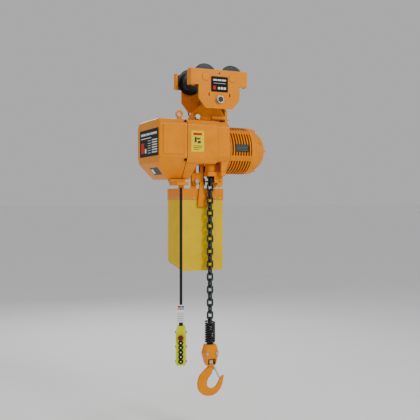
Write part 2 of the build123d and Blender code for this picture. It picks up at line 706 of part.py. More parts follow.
with BuildPart() as bearings:
    for x0, length, inner, outer, y, z in (
        (CASE_X1, 9, HUB_R + RUNNING, BEARING_R, AXIS_Y, AXIS_Z),
        (29, 10, HUB_R + RUNNING, BEARING_R, AXIS_Y, AXIS_Z),
        (FLANGE_X - 10, 10, ROTOR_SHAFT_R + RUNNING, 20, AXIS_Y, AXIS_Z),
        (BEARING_X, 10, ROTOR_SHAFT_R + RUNNING, 20, AXIS_Y, AXIS_Z),
        (CASE_COVER_X + 2, 7, 5.5 + RUNNING, 12, AXIS_Y, AXIS_Z),
        (CASE_COVER_X + 2, 7, 5.5 + RUNNING, 12, COUNTER_Y, COUNTER_Z),
        (CASE_X1, 7, 5.5 + RUNNING, 12, COUNTER_Y, COUNTER_Z),
    ):
        with BuildSketch(Plane.YZ.offset(x0)):
            with Locations((y, z)):
                Circle(outer)
                Circle(inner, mode=Mode.SUBTRACT)
        extrude(amount=length)
bearings.part.label = "bearings"
export_step(bearings.part, "parts/bearings.step")

# =========================== gear train and load wheel ===========================
counter_plane_x = -102
with BuildPart() as intermediate_gear:
    with BuildSketch(Plane.YZ.offset(CASE_COVER_X + 3)):
        with Locations((COUNTER_Y, COUNTER_Z)):
            Circle(5.5)
    extrude(amount=CASE_X1 + 6 - CASE_COVER_X - 3)
    with BuildSketch(Plane(origin=(counter_plane_x, COUNTER_Y, COUNTER_Z), x_dir=(0, 1, 0), z_dir=(1, 0, 0))):
        outline(gear_points(FIRST_GEAR, FIRST_MODULE, GEAR_ANGLE + pi))
    extrude(amount=14)
    with BuildSketch(Plane(origin=(-82, COUNTER_Y, COUNTER_Z), x_dir=(0, 1, 0), z_dir=(1, 0, 0))):
        outline(gear_points(SECOND_PINION, SECOND_MODULE, GEAR_ANGLE + pi))
    extrude(amount=28)
intermediate_gear.part.label = "intermediate_gear"
export_step(intermediate_gear.part, "parts/intermediate_gear.step")

with BuildPart() as load_gear:
    with BuildSketch(Plane(origin=(-78, AXIS_Y, AXIS_Z), x_dir=(0, 1, 0), z_dir=(1, 0, 0))):
        outline(gear_points(SECOND_GEAR, SECOND_MODULE, GEAR_ANGLE + pi / SECOND_GEAR))
        Circle(HUB_R, mode=Mode.SUBTRACT)
    extrude(amount=20)
load_gear.part.label = "load_gear"
export_step(load_gear.part, "parts/load_gear.step")

RIM_R = 53.0
RIM_HALF = 24.0
with BuildPart() as load_wheel:
    with BuildSketch(Plane.YZ.offset(-RIM_HALF)):
        with Locations((AXIS_Y, AXIS_Z)):
            Circle(RIM_R)
    extrude(amount=2 * RIM_HALF)
    with BuildSketch(Plane.YZ.offset(-80)):
        with Locations((AXIS_Y, AXIS_Z)):
            Circle(HUB_R)
    extrude(amount=118)
    with BuildSketch(Plane.YZ.offset(-5.6)):
        with Locations((AXIS_Y, AXIS_Z)):
            Circle(RIM_R + 1)
            Circle(28, mode=Mode.SUBTRACT)
    extrude(amount=11.2, mode=Mode.SUBTRACT)
    for pocket in range(POCKETS):
        angle = pi + 2 * pi / POCKETS * pocket
        plane = Plane(
            origin=(-LINK_HALF_WIDTH - 0.8, AXIS_Y, AXIS_Z), x_dir=(0, cos(angle), sin(angle)), z_dir=(1, 0, 0)
        )
        with BuildSketch(plane):
            with Locations((APOTHEM - CHAIN_WIRE / 2 - 2.6, 0)):
                Rectangle(30, 56, align=(Align.MIN, Align.CENTER))
        extrude(amount=2 * LINK_HALF_WIDTH + 1.6, mode=Mode.SUBTRACT)
    with BuildSketch(Plane.YZ.offset(-81)):
        with Locations((AXIS_Y, AXIS_Z)):
            Circle(ROTOR_SHAFT_R + 1)
    extrude(amount=120, mode=Mode.SUBTRACT)
load_wheel.part.label = "load_wheel"
export_step(load_wheel.part, "parts/load_wheel.step")

# ---- one chain link, drawn once, lying in the XZ plane with its length along Z ----
bend_r = LINK_HALF_WIDTH - CHAIN_WIRE / 2
half_straight = CHAIN_PITCH / 2 + CHAIN_WIRE / 2 - bend_r
with BuildPart() as link:
    with BuildLine(Plane.XZ) as link_path:
        Line((bend_r, 0), (bend_r, half_straight))
        CenterArc((0, half_straight), bend_r, 0, 180)
        Line((-bend_r, half_straight), (-bend_r, 0))
    with BuildSketch(Plane.XY):
        with Locations((bend_r, 0)):
            Circle(CHAIN_WIRE / 2)
    sweep(path=link_path.wires()[0])
    mirror(about=Plane.XY)


def link_place(x, y, z, tilt=0.0, edge_on=False, lying=False):
    """Where a link goes: tilt turns it about X, edge_on turns it about its own length, lying lays it along X."""
    place = Location((x, y, z)) * Location((0, 0, 0), (tilt, 0, 0))
    if lying:
        place = place * Location((0, 0, 0), (0, 90, 0))
    if edge_on:
        place = place * Location((0, 0, 0), (0, 0, 90))
    return place


with BuildPart() as load_chain:
    with Locations(*[
        link_place(0, 0, AXIS_Z - CHAIN_PITCH * n, edge_on=n % 2 == 1)
        for n in range(STATIC_LINKS, LAST_LINK + 1)
    ]):
        add(link.part)
load_chain.part.label = "load_chain"
export_step(load_chain.part, "parts/load_chain.step")

wheel_places = [link_place(0, 0, AXIS_Z - CHAIN_PITCH, edge_on=True)]
for n in range(POCKETS + 1):
    angle = pi - n * pi / POCKETS
    wheel_places.append(link_place(
        0, AXIS_Y + APOTHEM * cos(angle), AXIS_Z + APOTHEM * sin(angle),
        tilt=degrees(angle) - 180, edge_on=n % 2 == 1,
    ))
SLACK_LINKS = 11
for n in range(1, SLACK_LINKS + 1):
    wheel_places.append(link_place(0, SLACK_Y, AXIS_Z - CHAIN_PITCH * n, edge_on=n % 2 == 0))
with BuildPart() as wheel_chain:
    with Locations(*wheel_places):
        add(link.part)
wheel_chain.part.label = "wheel_chain"
export_step(wheel_chain.part, "parts/wheel_chain.step")

pile_places = []
for layer in range(2):
    for row in range(3):
        for n in range(6):
            x = -108 + CHAIN_PITCH * n + 12 * (row % 2)
            pile_places.append(link_place(
                x, BAG_Y0 + 32 + 38 * row, BAG_BOTTOM + 62 + 40 * layer, edge_on=n % 2 == 1, lying=True
            ))
with BuildPart() as slack_chain:
    with Locations(*pile_places):
        add(link.part)
slack_chain.part.label = "slack_chain"
export_step(slack_chain.part, "parts/slack_chain.step")

# =========================== chain guide and limit switch ===========================
GUIDE_TOP, GUIDE_UNDER = -382.0, -402.0
PIVOT_X, PIVOT_Z = 36.0, -427.0
PIVOT_R = 3.0
with BuildPart() as chain_guide:
    with BuildSketch(Plane.XY.offset(GUIDE_UNDER)):
        with Locations((15, 0)):
            RectangleRounded(76, 60, 5)
        with Locations((41, -41)):
            Rectangle(22, 42)
    extrude(amount=GUIDE_TOP - GUIDE_UNDER)
    with BuildSketch(Plane.XY.offset(GUIDE_TOP)):
        Circle(24)
    extrude(amount=BELLY_Z - GUIDE_TOP)
    with BuildSketch(Plane.XY.offset(GUIDE_UNDER)):
        Circle(CHAIN_WAY)
    extrude(amount=BELLY_Z - GUIDE_UNDER, mode=Mode.SUBTRACT)
    for y in (-24, 30):
        with BuildSketch(Plane.XZ.offset(y)):
            with BuildLine():
                Polyline((10, GUIDE_UNDER), (53, GUIDE_UNDER), (53, -432))
                ThreePointArc((53, -432), (47, -448), (32, -455))
                Polyline((32, -455), (26, -444), (26, -432), (10, -432), (10, GUIDE_UNDER))
            make_face()
            with Locations((PIVOT_X, PIVOT_Z)):
                Circle(PIVOT_R + RUNNING, mode=Mode.SUBTRACT)
        extrude(amount=-6)
    with BuildSketch(Plane.XZ.offset(24)):
        with Locations((50, -417)):
            Rectangle(6, 30)
    extrude(amount=-48)
chain_guide.part.label = "chain_guide"
export_step(chain_guide.part, "parts/chain_guide.step")

with BuildPart() as limit_lever:
    with BuildSketch(Plane.XY.offset(PIVOT_Z - 3)):
        Circle(22.5)
        with Locations((28, 0)):
            Rectangle(16, 30)
        Circle(CHAIN_WAY, mode=Mode.SUBTRACT)
    extrude(amount=6)
    with BuildSketch(at_y(-31)):
        with Locations((-PIVOT_X, PIVOT_Z)):
            Circle(PIVOT_R)
    extrude(amount=62)
limit_lever.part.label = "limit_lever"
export_step(limit_lever.part, "parts/limit_lever.step")

with BuildPart() as limit_switch:
    with BuildSketch(Plane.XY.offset(GUIDE_UNDER - 16)):
        with Locations((36, 0)):
            RectangleRounded(18, 34, 3)
    extrude(amount=16)
    with BuildSketch(Plane.XY.offset(GUIDE_UNDER - 19)):
        with Locations((30, 0)):
            Circle(3)
    extrude(amount=3)
limit_switch.part.label = "limit_switch"
export_step(limit_switch.part, "parts/limit_switch.step")

# =========================== electrical parts ===========================
with BuildPart() as contactors:
    for y, z in ((-20, -210), (50, -210), (120, -210), (-10, -300), (60, -300)):
        with BuildSketch(Plane.YZ.offset(CASE_COVER_X - 84)):
            with Locations((y, z)):
                RectangleRounded(52, 68, 4)
        extrude(amount=80)
    with BuildSketch(Plane.YZ.offset(CASE_COVER_X - 4)):
        with Locations((50, -250)):
            Rectangle(220, 170)
    extrude(amount=4)
contactors.part.label = "contactors"
export_step(contactors.part, "parts/contactors.step")

MOTOR_LABEL_PLANE = Plane(origin=(135, AXIS_Y - MOTOR_R, AXIS_Z + 6), x_dir=(1, 0, 0), z_dir=(0, -1, 0))
RATING_PLANE = Plane(
    origin=((COVER_END_X + BEVEL_FOOT_X) / 2, 24, (BEVEL_TOP_Z + SKIRT_Z) / 2),
    x_dir=(0, -1, 0),
    z_dir=(SKIRT_Z - BEVEL_TOP_Z, 0, COVER_END_X - BEVEL_FOOT_X),
)
with BuildPart() as hoist_labels:
    with BuildSketch(Plane.YZ.offset(COVER_END_X - 1)):
        with Locations((40, -252)):
            RectangleRounded(244, 124, 5)
    extrude(amount=1)
    with BuildSketch(RATING_PLANE):
        RectangleRounded(100, 40, 2)
    extrude(amount=1)
    with BuildSketch(Plane.XZ.offset(-FRONT_Y)):
        with Locations((-104, -247)):
            Rectangle(64, 96)
    extrude(amount=1)
    with BuildSketch(MOTOR_LABEL_PLANE):
        RectangleRounded(72, 34, 2)
    extrude(amount=2)
hoist_labels.part.label = "hoist_labels"
export_step(hoist_labels.part, "parts/hoist_labels.step")

TROLLEY_GLAND_X, TROLLEY_GLAND_Y = -45.0, 142.0
with BuildPart() as cable_glands:
    with BuildSketch(Plane.XY.offset(SKIRT_Z - 14)):
        with Locations((PENDANT_X, PENDANT_Y + 50)):
            RectangleRounded(74, 40, 6)
    extrude(amount=14)
    with BuildSketch(Plane.XY.offset(-447)):
        with Locations((PENDANT_X, PENDANT_Y + 24)):
            RectangleRounded(62, 100, 8)
    extrude(amount=15)
    with BuildSketch(Plane.XY.offset(CABLE_TOP)):
        with Locations((PENDANT_X, PENDANT_Y)):
            Circle(12)
    extrude(amount=-447 - CABLE_TOP)
    with BuildSketch(Plane.XY.offset(CABLE_TOP)):
        with Locations((PENDANT_X, PENDANT_Y)):
            Circle(CABLE_R + 1)
    extrude(amount=CABLE_R + 2, mode=Mode.SUBTRACT)
    with BuildSketch(Plane.XY.offset(TOP_Z)):
        with Locations((TROLLEY_GLAND_X, TROLLEY_GLAND_Y)):
            Circle(9)
    extrude(amount=14)
cable_glands.part.label = "cable_glands"
export_step(cable_glands.part, "parts/cable_glands.step")

TROLLEY_CABLE_R = 3.5
cable_low = TOP_Z + 14
cable_high = DRIVE_AXIS_Z - 50
trolley_cable_points = [
    (TROLLEY_GLAND_X, TROLLEY_GLAND_Y, cable_low),
    (TROLLEY_GLAND_X, TROLLEY_GLAND_Y, cable_low + 25),
    (TROLLEY_GLAND_X - 4, TROLLEY_GLAND_Y + 4, cable_low + 50),
    (TROLLEY_GLAND_X - 3, TROLLEY_GLAND_Y + 9, cable_low + 75),
    (TROLLEY_GLAND_X, TROLLEY_GLAND_Y + 10, cable_high),
]


def bend_radii(points):
    """The largest radius for each inner corner: 0.45 of the shorter run over the tangent of half the turn."""
    radii = []
    for before, corner, after in zip(points, points[1:], points[2:]):
        run_in = Vector(*corner) - Vector(*before)
        run_out = Vector(*after) - Vector(*corner)
        turn = radians(run_in.get_angle(run_out))
        radii.append(0.45 * min(run_in.length, run_out.length) * cos(turn / 2) / sin(turn / 2))
    return radii


trolley_cable_radii = bend_radii(trolley_cable_points)
print("trolley cable radii", [round(r, 1) for r in trolley_cable_radii])
with BuildPart() as trolley_cable:
    with BuildLine() as trolley_cable_path:
        FilletPolyline(*trolley_cable_points, radius=trolley_cable_radii)
    with BuildSketch(Plane.XY.offset(cable_low)):
        with Locations((TROLLEY_GLAND_X, TROLLEY_GLAND_Y)):
            Circle(TROLLEY_CABLE_R)
    sweep(path=trolley_cable_path.wires()[0])
print("trolley cable length", trolley_cable_path.wires()[0].length)
print("volume over section", trolley_cable.part.volume / (pi * TROLLEY_CABLE_R**2))
trolley_cable.part.label = "trolley_cable"
export_step(trolley_cable.part, "parts/trolley_cable.step")

# =========================== chain container ===========================
BAG_WALL = 2.5
with BuildPart() as chain_container:
    with BuildSketch(Plane.YZ.offset(BAG_X0)):
        outline([
            (BAG_Y0, COLLAR_TOP), (BAG_Y0, BAG_BOTTOM), (BAG_Y1, BAG_BACK_BOTTOM), (BAG_Y1, COLLAR_TOP),
        ])
    extrude(amount=BAG_X1 - BAG_X0)
    bottom_edges = [
        e for e in edges() if e.center().Z < BAG_BACK_BOTTOM and abs(e.center().X - (BAG_X0 + BAG_X1) / 2) > 60
    ]
    fillet(bottom_edges, radius=16)
    with BuildSketch(Plane.YZ.offset(BAG_X0 + BAG_WALL)):
        outline([
            (BAG_Y0 + BAG_WALL, COLLAR_TOP), (BAG_Y0 + BAG_WALL, BAG_BOTTOM + BAG_WALL + 1),
            (BAG_Y1 - BAG_WALL, BAG_BACK_BOTTOM + BAG_WALL), (BAG_Y1 - BAG_WALL, COLLAR_TOP),
        ])
    extrude(amount=BAG_X1 - BAG_X0 - 2 * BAG_WALL, mode=Mode.SUBTRACT)
chain_container.part.label = "chain_container"
export_step(chain_container.part, "parts/chain_container.step")

COLLAR_THICK = 2.0
RIVET_Z = -503.0
bag_mid = ((BAG_X0 + BAG_X1) / 2, (BAG_Y0 + BAG_Y1) / 2)
bag_size = (BAG_X1 - BAG_X0, BAG_Y1 - BAG_Y0)
with BuildPart() as container_collar:
    with BuildSketch(Plane.XY.offset(COLLAR_BOTTOM)):
        with Locations(bag_mid):
            Rectangle(bag_size[0] + 2 * COLLAR_THICK, bag_size[1] + 2 * COLLAR_THICK)
            Rectangle(*bag_size, mode=Mode.SUBTRACT)
    extrude(amount=COLLAR_TOP - COLLAR_BOTTOM)
    with BuildSketch(Plane.XZ.offset(-BAG_Y0 + COLLAR_THICK)):
        with Locations((bag_mid[0], RIVET_Z)):
            with GridLocations(27, 1, 8, 1):
                Circle(3.2)
    extrude(amount=1.2)
    with BuildSketch(Plane.YZ.offset(BAG_X0 - COLLAR_THICK)):
        with Locations((bag_mid[1], RIVET_Z)):
            with GridLocations(27, 1, 6, 1):
                Circle(3.2)
    extrude(amount=-1.2)
container_collar.part.label = "container_collar"
export_step(container_collar.part, "parts/container_collar.step")

TONGUE_Y0, TONGUE_Y1 = 20.0, 27.5
with BuildPart() as container_bracket:
    with BuildSketch(Plane.XZ.offset(-TONGUE_Y1)):
        outline([(-40, BELLY_Z), (-26, BELLY_Z), (-26, -425), (-4, -545), (-54, -545), (-42, -425)])
        outline([(-84, -385), (-38, -385), (-38, -420), (-54, -442), (-74, -442), (-84, -420)])
        with Locations((BAG_BOLT_X, BAG_BOLT_Z)):
            Circle(5, mode=Mode.SUBTRACT)
    extrude(amount=TONGUE_Y1 - TONGUE_Y0)
    for y in (BAG_Y0 + BAG_WALL, BAG_Y1 - BAG_WALL - 4):
        with BuildSketch(at_y(y)):
            with Locations((70, (BELLY_Z - 500) / 2)):
                Rectangle(28, 500 + BELLY_Z)
        extrude(amount=4)
    with BuildSketch(at_y(TONGUE_Y1)):
        with Locations((64, -400)):
            Rectangle(24, 30)
    extrude(amount=BAG_Y0 + BAG_WALL - TONGUE_Y1)
container_bracket.part.label = "container_bracket"
export_step(container_bracket.part, "parts/container_bracket.step")

# =========================== hook side ===========================
SPRING_R = 26.0
SPRING_COILS = 9
coil_pitch = (SPRING_TOP - BLOCK_TOP) / SPRING_COILS
with BuildPart() as buffer_spring:
    with BuildSketch(Plane.XZ):
        spring_points = [(SPRING_R - 6, BLOCK_TOP + 3), (SPRING_R - 6, SPRING_TOP)]
        for coil in range(SPRING_COILS):
            z = SPRING_TOP - coil_pitch * coil
            spring_points += [
                (SPRING_R - 4, z), (SPRING_R, z - coil_pitch / 3), (SPRING_R - 4, z - 2 * coil_pitch / 3),
            ]
        spring_points[-1] = (SPRING_R - 4, BLOCK_TOP + 3)
        outline(spring_points)
    revolve(axis=Axis.Z)
buffer_spring.part.label = "buffer_spring"
export_step(buffer_spring.part, "parts/buffer_spring.step")

BLOCK_HALF_Y = 22.0
BLOCK_BOLT_X = 26.0
NUT_CAVITY_TOP, NUT_CAVITY_BOTTOM = -1256.0, -1283.0
with BuildPart() as hook_block:
    with BuildSketch(Plane.XZ.offset(-BLOCK_HALF_Y)):
        outline([
            (-25, BLOCK_TOP), (25, BLOCK_TOP), (38, BLOCK_WIDEST), (24, -1280), (17, BLOCK_BOTTOM),
            (-17, BLOCK_BOTTOM), (-24, -1280), (-38, BLOCK_WIDEST),
        ])
        fillet(vertices(), radius=5)
    extrude(amount=2 * BLOCK_HALF_Y)
    chamfer(faces().filter_by(Axis.Y).edges(), length=5)
    with BuildSketch(Plane.XY.offset(-1238)):
        Circle(17.6)
    extrude(amount=BLOCK_TOP + 1238, mode=Mode.SUBTRACT)
    with BuildSketch(Plane.XZ.offset(-BLOCK_HALF_Y)):
        with Locations((0, (NUT_CAVITY_TOP + NUT_CAVITY_BOTTOM) / 2)):
            RectangleRounded(39, NUT_CAVITY_TOP - NUT_CAVITY_BOTTOM, 2)
    extrude(amount=2 * BLOCK_HALF_Y, mode=Mode.SUBTRACT)
    with BuildSketch(Plane.XY.offset(BLOCK_BOTTOM)):
        Circle(SHANK_R + RUNNING)
    extrude(amount=20, mode=Mode.SUBTRACT)
    for x in (-BLOCK_BOLT_X, BLOCK_BOLT_X):
        with BuildSketch(Plane.XZ.offset(-BLOCK_HALF_Y)):
            with Locations((x, BLOCK_WIDEST)):
                Circle(4)
        extrude(amount=2 * BLOCK_HALF_Y, mode=Mode.SUBTRACT)
hook_block.part.label = "hook_block"
export_step(hook_block.part, "parts/hook_block.step")

with BuildPart() as block_bolts:
    for x in (-BLOCK_BOLT_X, BLOCK_BOLT_X):
        with BuildSketch(Plane.XZ.offset(-BLOCK_HALF_Y)):
            with Locations((x, BLOCK_WIDEST)):
                Circle(4)
        extrude(amount=2 * BLOCK_HALF_Y)
        for start in (-BLOCK_HALF_Y - 4, BLOCK_HALF_Y):
            with BuildSketch(at_y(start)):
                with Locations((-x, BLOCK_WIDEST)):
                    RegularPolygon(6.5, 6, major_radius=False)
            extrude(amount=4)
block_bolts.part.label = "block_bolts"
export_step(block_bolts.part, "parts/block_bolts.step")

HOOK_HALF = 12.0
HOOK_FLOOR = -1435.0
with BuildPart() as load_hook:
    with BuildSketch(Plane.XZ.offset(-HOOK_HALF)):
        with BuildLine():
            Line((-13, -1297), (13, -1297))
            ThreePointArc((13, -1297), (12, -1324), (-8, -1345))
            ThreePointArc((-8, -1345), (-17, -1385), (10, -1398))
            ThreePointArc((10, -1398), (34, -1384), (48, -1357))
            Line((48, -1357), (64, -1341))
            ThreePointArc((64, -1341), (71, -1340), (71, -1347))
            ThreePointArc((71, -1347), (54, -1405), (0, HOOK_FLOOR))
            ThreePointArc((0, HOOK_FLOOR), (-60, -1403), (-62, -1343))
            ThreePointArc((-62, -1343), (-42, -1322), (-13, -1297))
        make_face()
    extrude(amount=2 * HOOK_HALF)
    with BuildSketch(Plane.XY.offset(-1300)):
        Circle(SHANK_R)
    extrude(amount=-1260 + 1300)
    with BuildSketch(at_y(-7)):
        with Locations((-LATCH_PIVOT[0], LATCH_PIVOT[1])):
            Circle(6)
        with Locations((-14, LATCH_PIVOT[1])):
            Rectangle(10, 12)
        with Locations((-LATCH_PIVOT[0], LATCH_PIVOT[1])):
            Circle(2.5 + RUNNING, mode=Mode.SUBTRACT)
    extrude(amount=14)
load_hook.part.label = "load_hook"
export_step(load_hook.part, "parts/load_hook.step")

with BuildPart() as hook_nut:
    with BuildSketch(Plane.XY.offset(NUT_CAVITY_BOTTOM + 0.3)):
        RegularPolygon(15, 6, major_radius=False)
        Circle(SHANK_R, mode=Mode.SUBTRACT)
    extrude(amount=20)
hook_nut.part.label = "hook_nut"
export_step(hook_nut.part, "parts/hook_nut.step")

latch_x, latch_z = LATCH_PIVOT
with BuildPart() as safety_latch:
    for start in (-9.5, 7.3):
        with BuildSketch(at_y(start)):
            outline([
                (-latch_x + 3, latch_z + 3), (-latch_x - 6, latch_z + 4),
                (-latch_x - 8, latch_z - 8), (-latch_x, latch_z - 12),
            ])
        extrude(amount=2.2)
    with BuildSketch(at_y(-9.5)):
        outline([
            (-latch_x - 5, latch_z - 6), (-latch_x - 8, latch_z - 6), (-49, -1351), (-46, -1353),
        ])
    extrude(amount=19)
    with BuildSketch(at_y(-9.5)):
        with Locations((-latch_x, latch_z)):
            Circle(2.5)
    extrude(amount=19)
safety_latch.part.label = "safety_latch"
export_step(safety_latch.part, "parts/safety_latch.step")

# =========================== pendant ===========================
face_x, face_y = -sin(PENDANT_TURN), -cos(PENDANT_TURN)


def pendant_plane(depth):
    """Plane parallel to the pendant's button face, depth in front of its cable's axis; local y is Z."""
    return Plane(
        origin=(PENDANT_X + face_x * depth, PENDANT_Y + face_y * depth, 0),
        x_dir=(-face_y, face_x, 0),
        z_dir=(face_x, face_y, 0),
    )


def pendant_outline(inset):
    """The pendant's front outline with clipped top corners, drawn smaller by inset."""
    half = PENDANT_WIDTH / 2 - inset
    top, bottom = PENDANT_TOP - inset, PENDANT_BOTTOM + inset
    outline([
        (-half + 7, top), (half - 7, top), (half - 3, top - 14), (half, top - 40), (half, bottom + 5),
        (half - 5, bottom), (-half + 5, bottom), (-half, bottom + 5), (-half, top - 40), (-half + 3, top - 14),
    ])


SHELL = 2.5
BUTTON_R = 9.7
for name, start, wall_at in (("pendant_shell_front", 0.0, 1), ("pendant_shell_back", -PENDANT_HALF_DEPTH, 0)):
    with BuildPart() as pendant_shell:
        with BuildSketch(pendant_plane(start)):
            pendant_outline(0)
        extrude(amount=PENDANT_HALF_DEPTH)
        if wall_at:
            fillet(faces().sort_by(Axis((0, 0, 0), (face_x, face_y, 0)))[-1].edges(), radius=2.5)
        with BuildSketch(pendant_plane(start + (0 if wall_at else SHELL))):
            pendant_outline(SHELL)
        extrude(amount=PENDANT_HALF_DEPTH - SHELL, mode=Mode.SUBTRACT)
        if wall_at:
            with BuildSketch(pendant_plane(0)):
                with Locations(*[(0, z) for z in BUTTON_Z]):
                    Circle(BUTTON_R + 0.3)
            extrude(amount=PENDANT_HALF_DEPTH + 1, mode=Mode.SUBTRACT)
    pendant_shell.part.label = name
    export_step(pendant_shell.part, f"parts/{name}.step")

with BuildPart() as pendant_screws:
    for side in (-1, 1):
        for z in (-1111, -1177, -1243):
            with BuildSketch(pendant_plane(-9)):
                with Locations((side * (PENDANT_WIDTH / 2 + 1.5), z)):
                    Rectangle(3, 8)
            extrude(amount=14)
pendant_screws.part.label = "pendant_screws"
export_step(pendant_screws.part, "parts/pendant_screws.step")

with BuildPart() as pendant_gland:
    with BuildSketch(Plane.XY.offset(PENDANT_TOP)):
        with Locations((PENDANT_X, PENDANT_Y)):
            Circle(9.5)
            Circle(CABLE_R, mode=Mode.SUBTRACT)
    extrude(amount=14)
pendant_gland.part.label = "pendant_gland"
export_step(pendant_gland.part, "parts/pendant_gland.step")

with BuildPart() as pendant_cable:
    with BuildSketch(Plane.XY.offset(PENDANT_TOP)):
        with Locations((PENDANT_X, PENDANT_Y)):
            Circle(CABLE_R)
    extrude(amount=CABLE_TOP - PENDANT_TOP)
    with Locations((PENDANT_X, PENDANT_Y, CABLE_TOP)):
        Sphere(CABLE_R)
pendant_cable.part.label = "pendant_cable"
export_step(pendant_cable.part, "parts/pendant_cable.step")

with BuildPart() as cable_tag:
    with BuildSketch(pendant_plane(8)):
        with Locations((0, -1027)):
            RectangleRounded(36, 79, 3)
    extrude(amount=1)
cable_tag.part.label = "cable_tag"
export_step(cable_tag.part, "parts/cable_tag.step")

button_names = ["button_stop", "button_up", "button_down", "button_left", "button_right", "button_start"]
for name, z in zip(button_names, BUTTON_Z):
    with BuildPart() as button:
        with BuildSketch(pendant_plane(10)):
            with Locations((0, z)):
                Circle(BUTTON_R)
        extrude(amount=PENDANT_HALF_DEPTH - 10 + 5)
        if name == "button_stop":
            with BuildSketch(pendant_plane(PENDANT_HALF_DEPTH + 4.5)):
                with Locations((0, z)):
                    Circle(12.3)
            extrude(amount=6)
        chamfer(faces().sort_by(Axis((0, 0, 0), (face_x, face_y, 0)))[-1].edges(), length=1)
    button.part.label = name
    export_step(button.part, f"parts/{name}.step")
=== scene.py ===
"""The looks of an electric chain hoist on a motor-driven trolley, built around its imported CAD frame.

Places are given in millimetres in the frame of the CAD and turned into metres by point().
X runs along the hoist's motor, Y runs from its front to its back, and Z is up.
"""

import json
import math

import bmesh
import bpy
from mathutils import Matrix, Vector

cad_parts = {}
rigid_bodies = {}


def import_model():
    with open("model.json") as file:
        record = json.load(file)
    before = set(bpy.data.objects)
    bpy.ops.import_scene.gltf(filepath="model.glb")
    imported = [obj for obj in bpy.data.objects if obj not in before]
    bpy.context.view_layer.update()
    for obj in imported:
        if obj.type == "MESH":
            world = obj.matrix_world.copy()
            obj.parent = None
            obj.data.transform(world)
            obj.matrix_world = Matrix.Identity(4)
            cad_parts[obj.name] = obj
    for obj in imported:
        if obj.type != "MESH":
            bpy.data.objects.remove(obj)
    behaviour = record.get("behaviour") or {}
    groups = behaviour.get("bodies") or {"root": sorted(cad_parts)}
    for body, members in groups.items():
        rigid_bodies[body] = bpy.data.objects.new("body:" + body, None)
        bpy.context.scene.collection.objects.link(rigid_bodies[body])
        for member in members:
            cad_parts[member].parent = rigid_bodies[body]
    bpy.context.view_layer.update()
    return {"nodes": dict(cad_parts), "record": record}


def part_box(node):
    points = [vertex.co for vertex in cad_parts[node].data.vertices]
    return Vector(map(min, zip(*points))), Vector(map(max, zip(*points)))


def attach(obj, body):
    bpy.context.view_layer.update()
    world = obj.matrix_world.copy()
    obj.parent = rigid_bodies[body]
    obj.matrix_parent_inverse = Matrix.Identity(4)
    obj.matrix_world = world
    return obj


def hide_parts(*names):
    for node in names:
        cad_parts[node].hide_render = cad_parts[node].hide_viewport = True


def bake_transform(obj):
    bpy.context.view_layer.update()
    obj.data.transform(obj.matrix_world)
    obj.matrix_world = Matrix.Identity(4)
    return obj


for leftover in list(bpy.data.objects):
    bpy.data.objects.remove(leftover)

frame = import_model()
cad_nodes = frame["nodes"]

MM = 0.001
UP = Vector((0, 0, 1))
FRONT = Vector((0, -1, 0))
BACK = Vector((0, 1, 0))
RIGHT = Vector((1, 0, 0))
LEFT = Vector((-1, 0, 0))


def point(x, y, z):
    """A place given in millimetres, in metres."""
    return Vector((x, y, z)) * MM


# ---------------------------------------------------------------- materials

# Lengths in the finishes are in metres.
EDGE_RADIUS = 0.0012
# How far the painted shade in hollows reaches.
SHADE_REACH = 0.02
COAT_ROUGHNESS = 0.12
NOISE_LOW = 0.3
NOISE_HIGH = 0.7
PATCH_FINENESS = 9  # how much finer the worn patches are than the clouds of colour


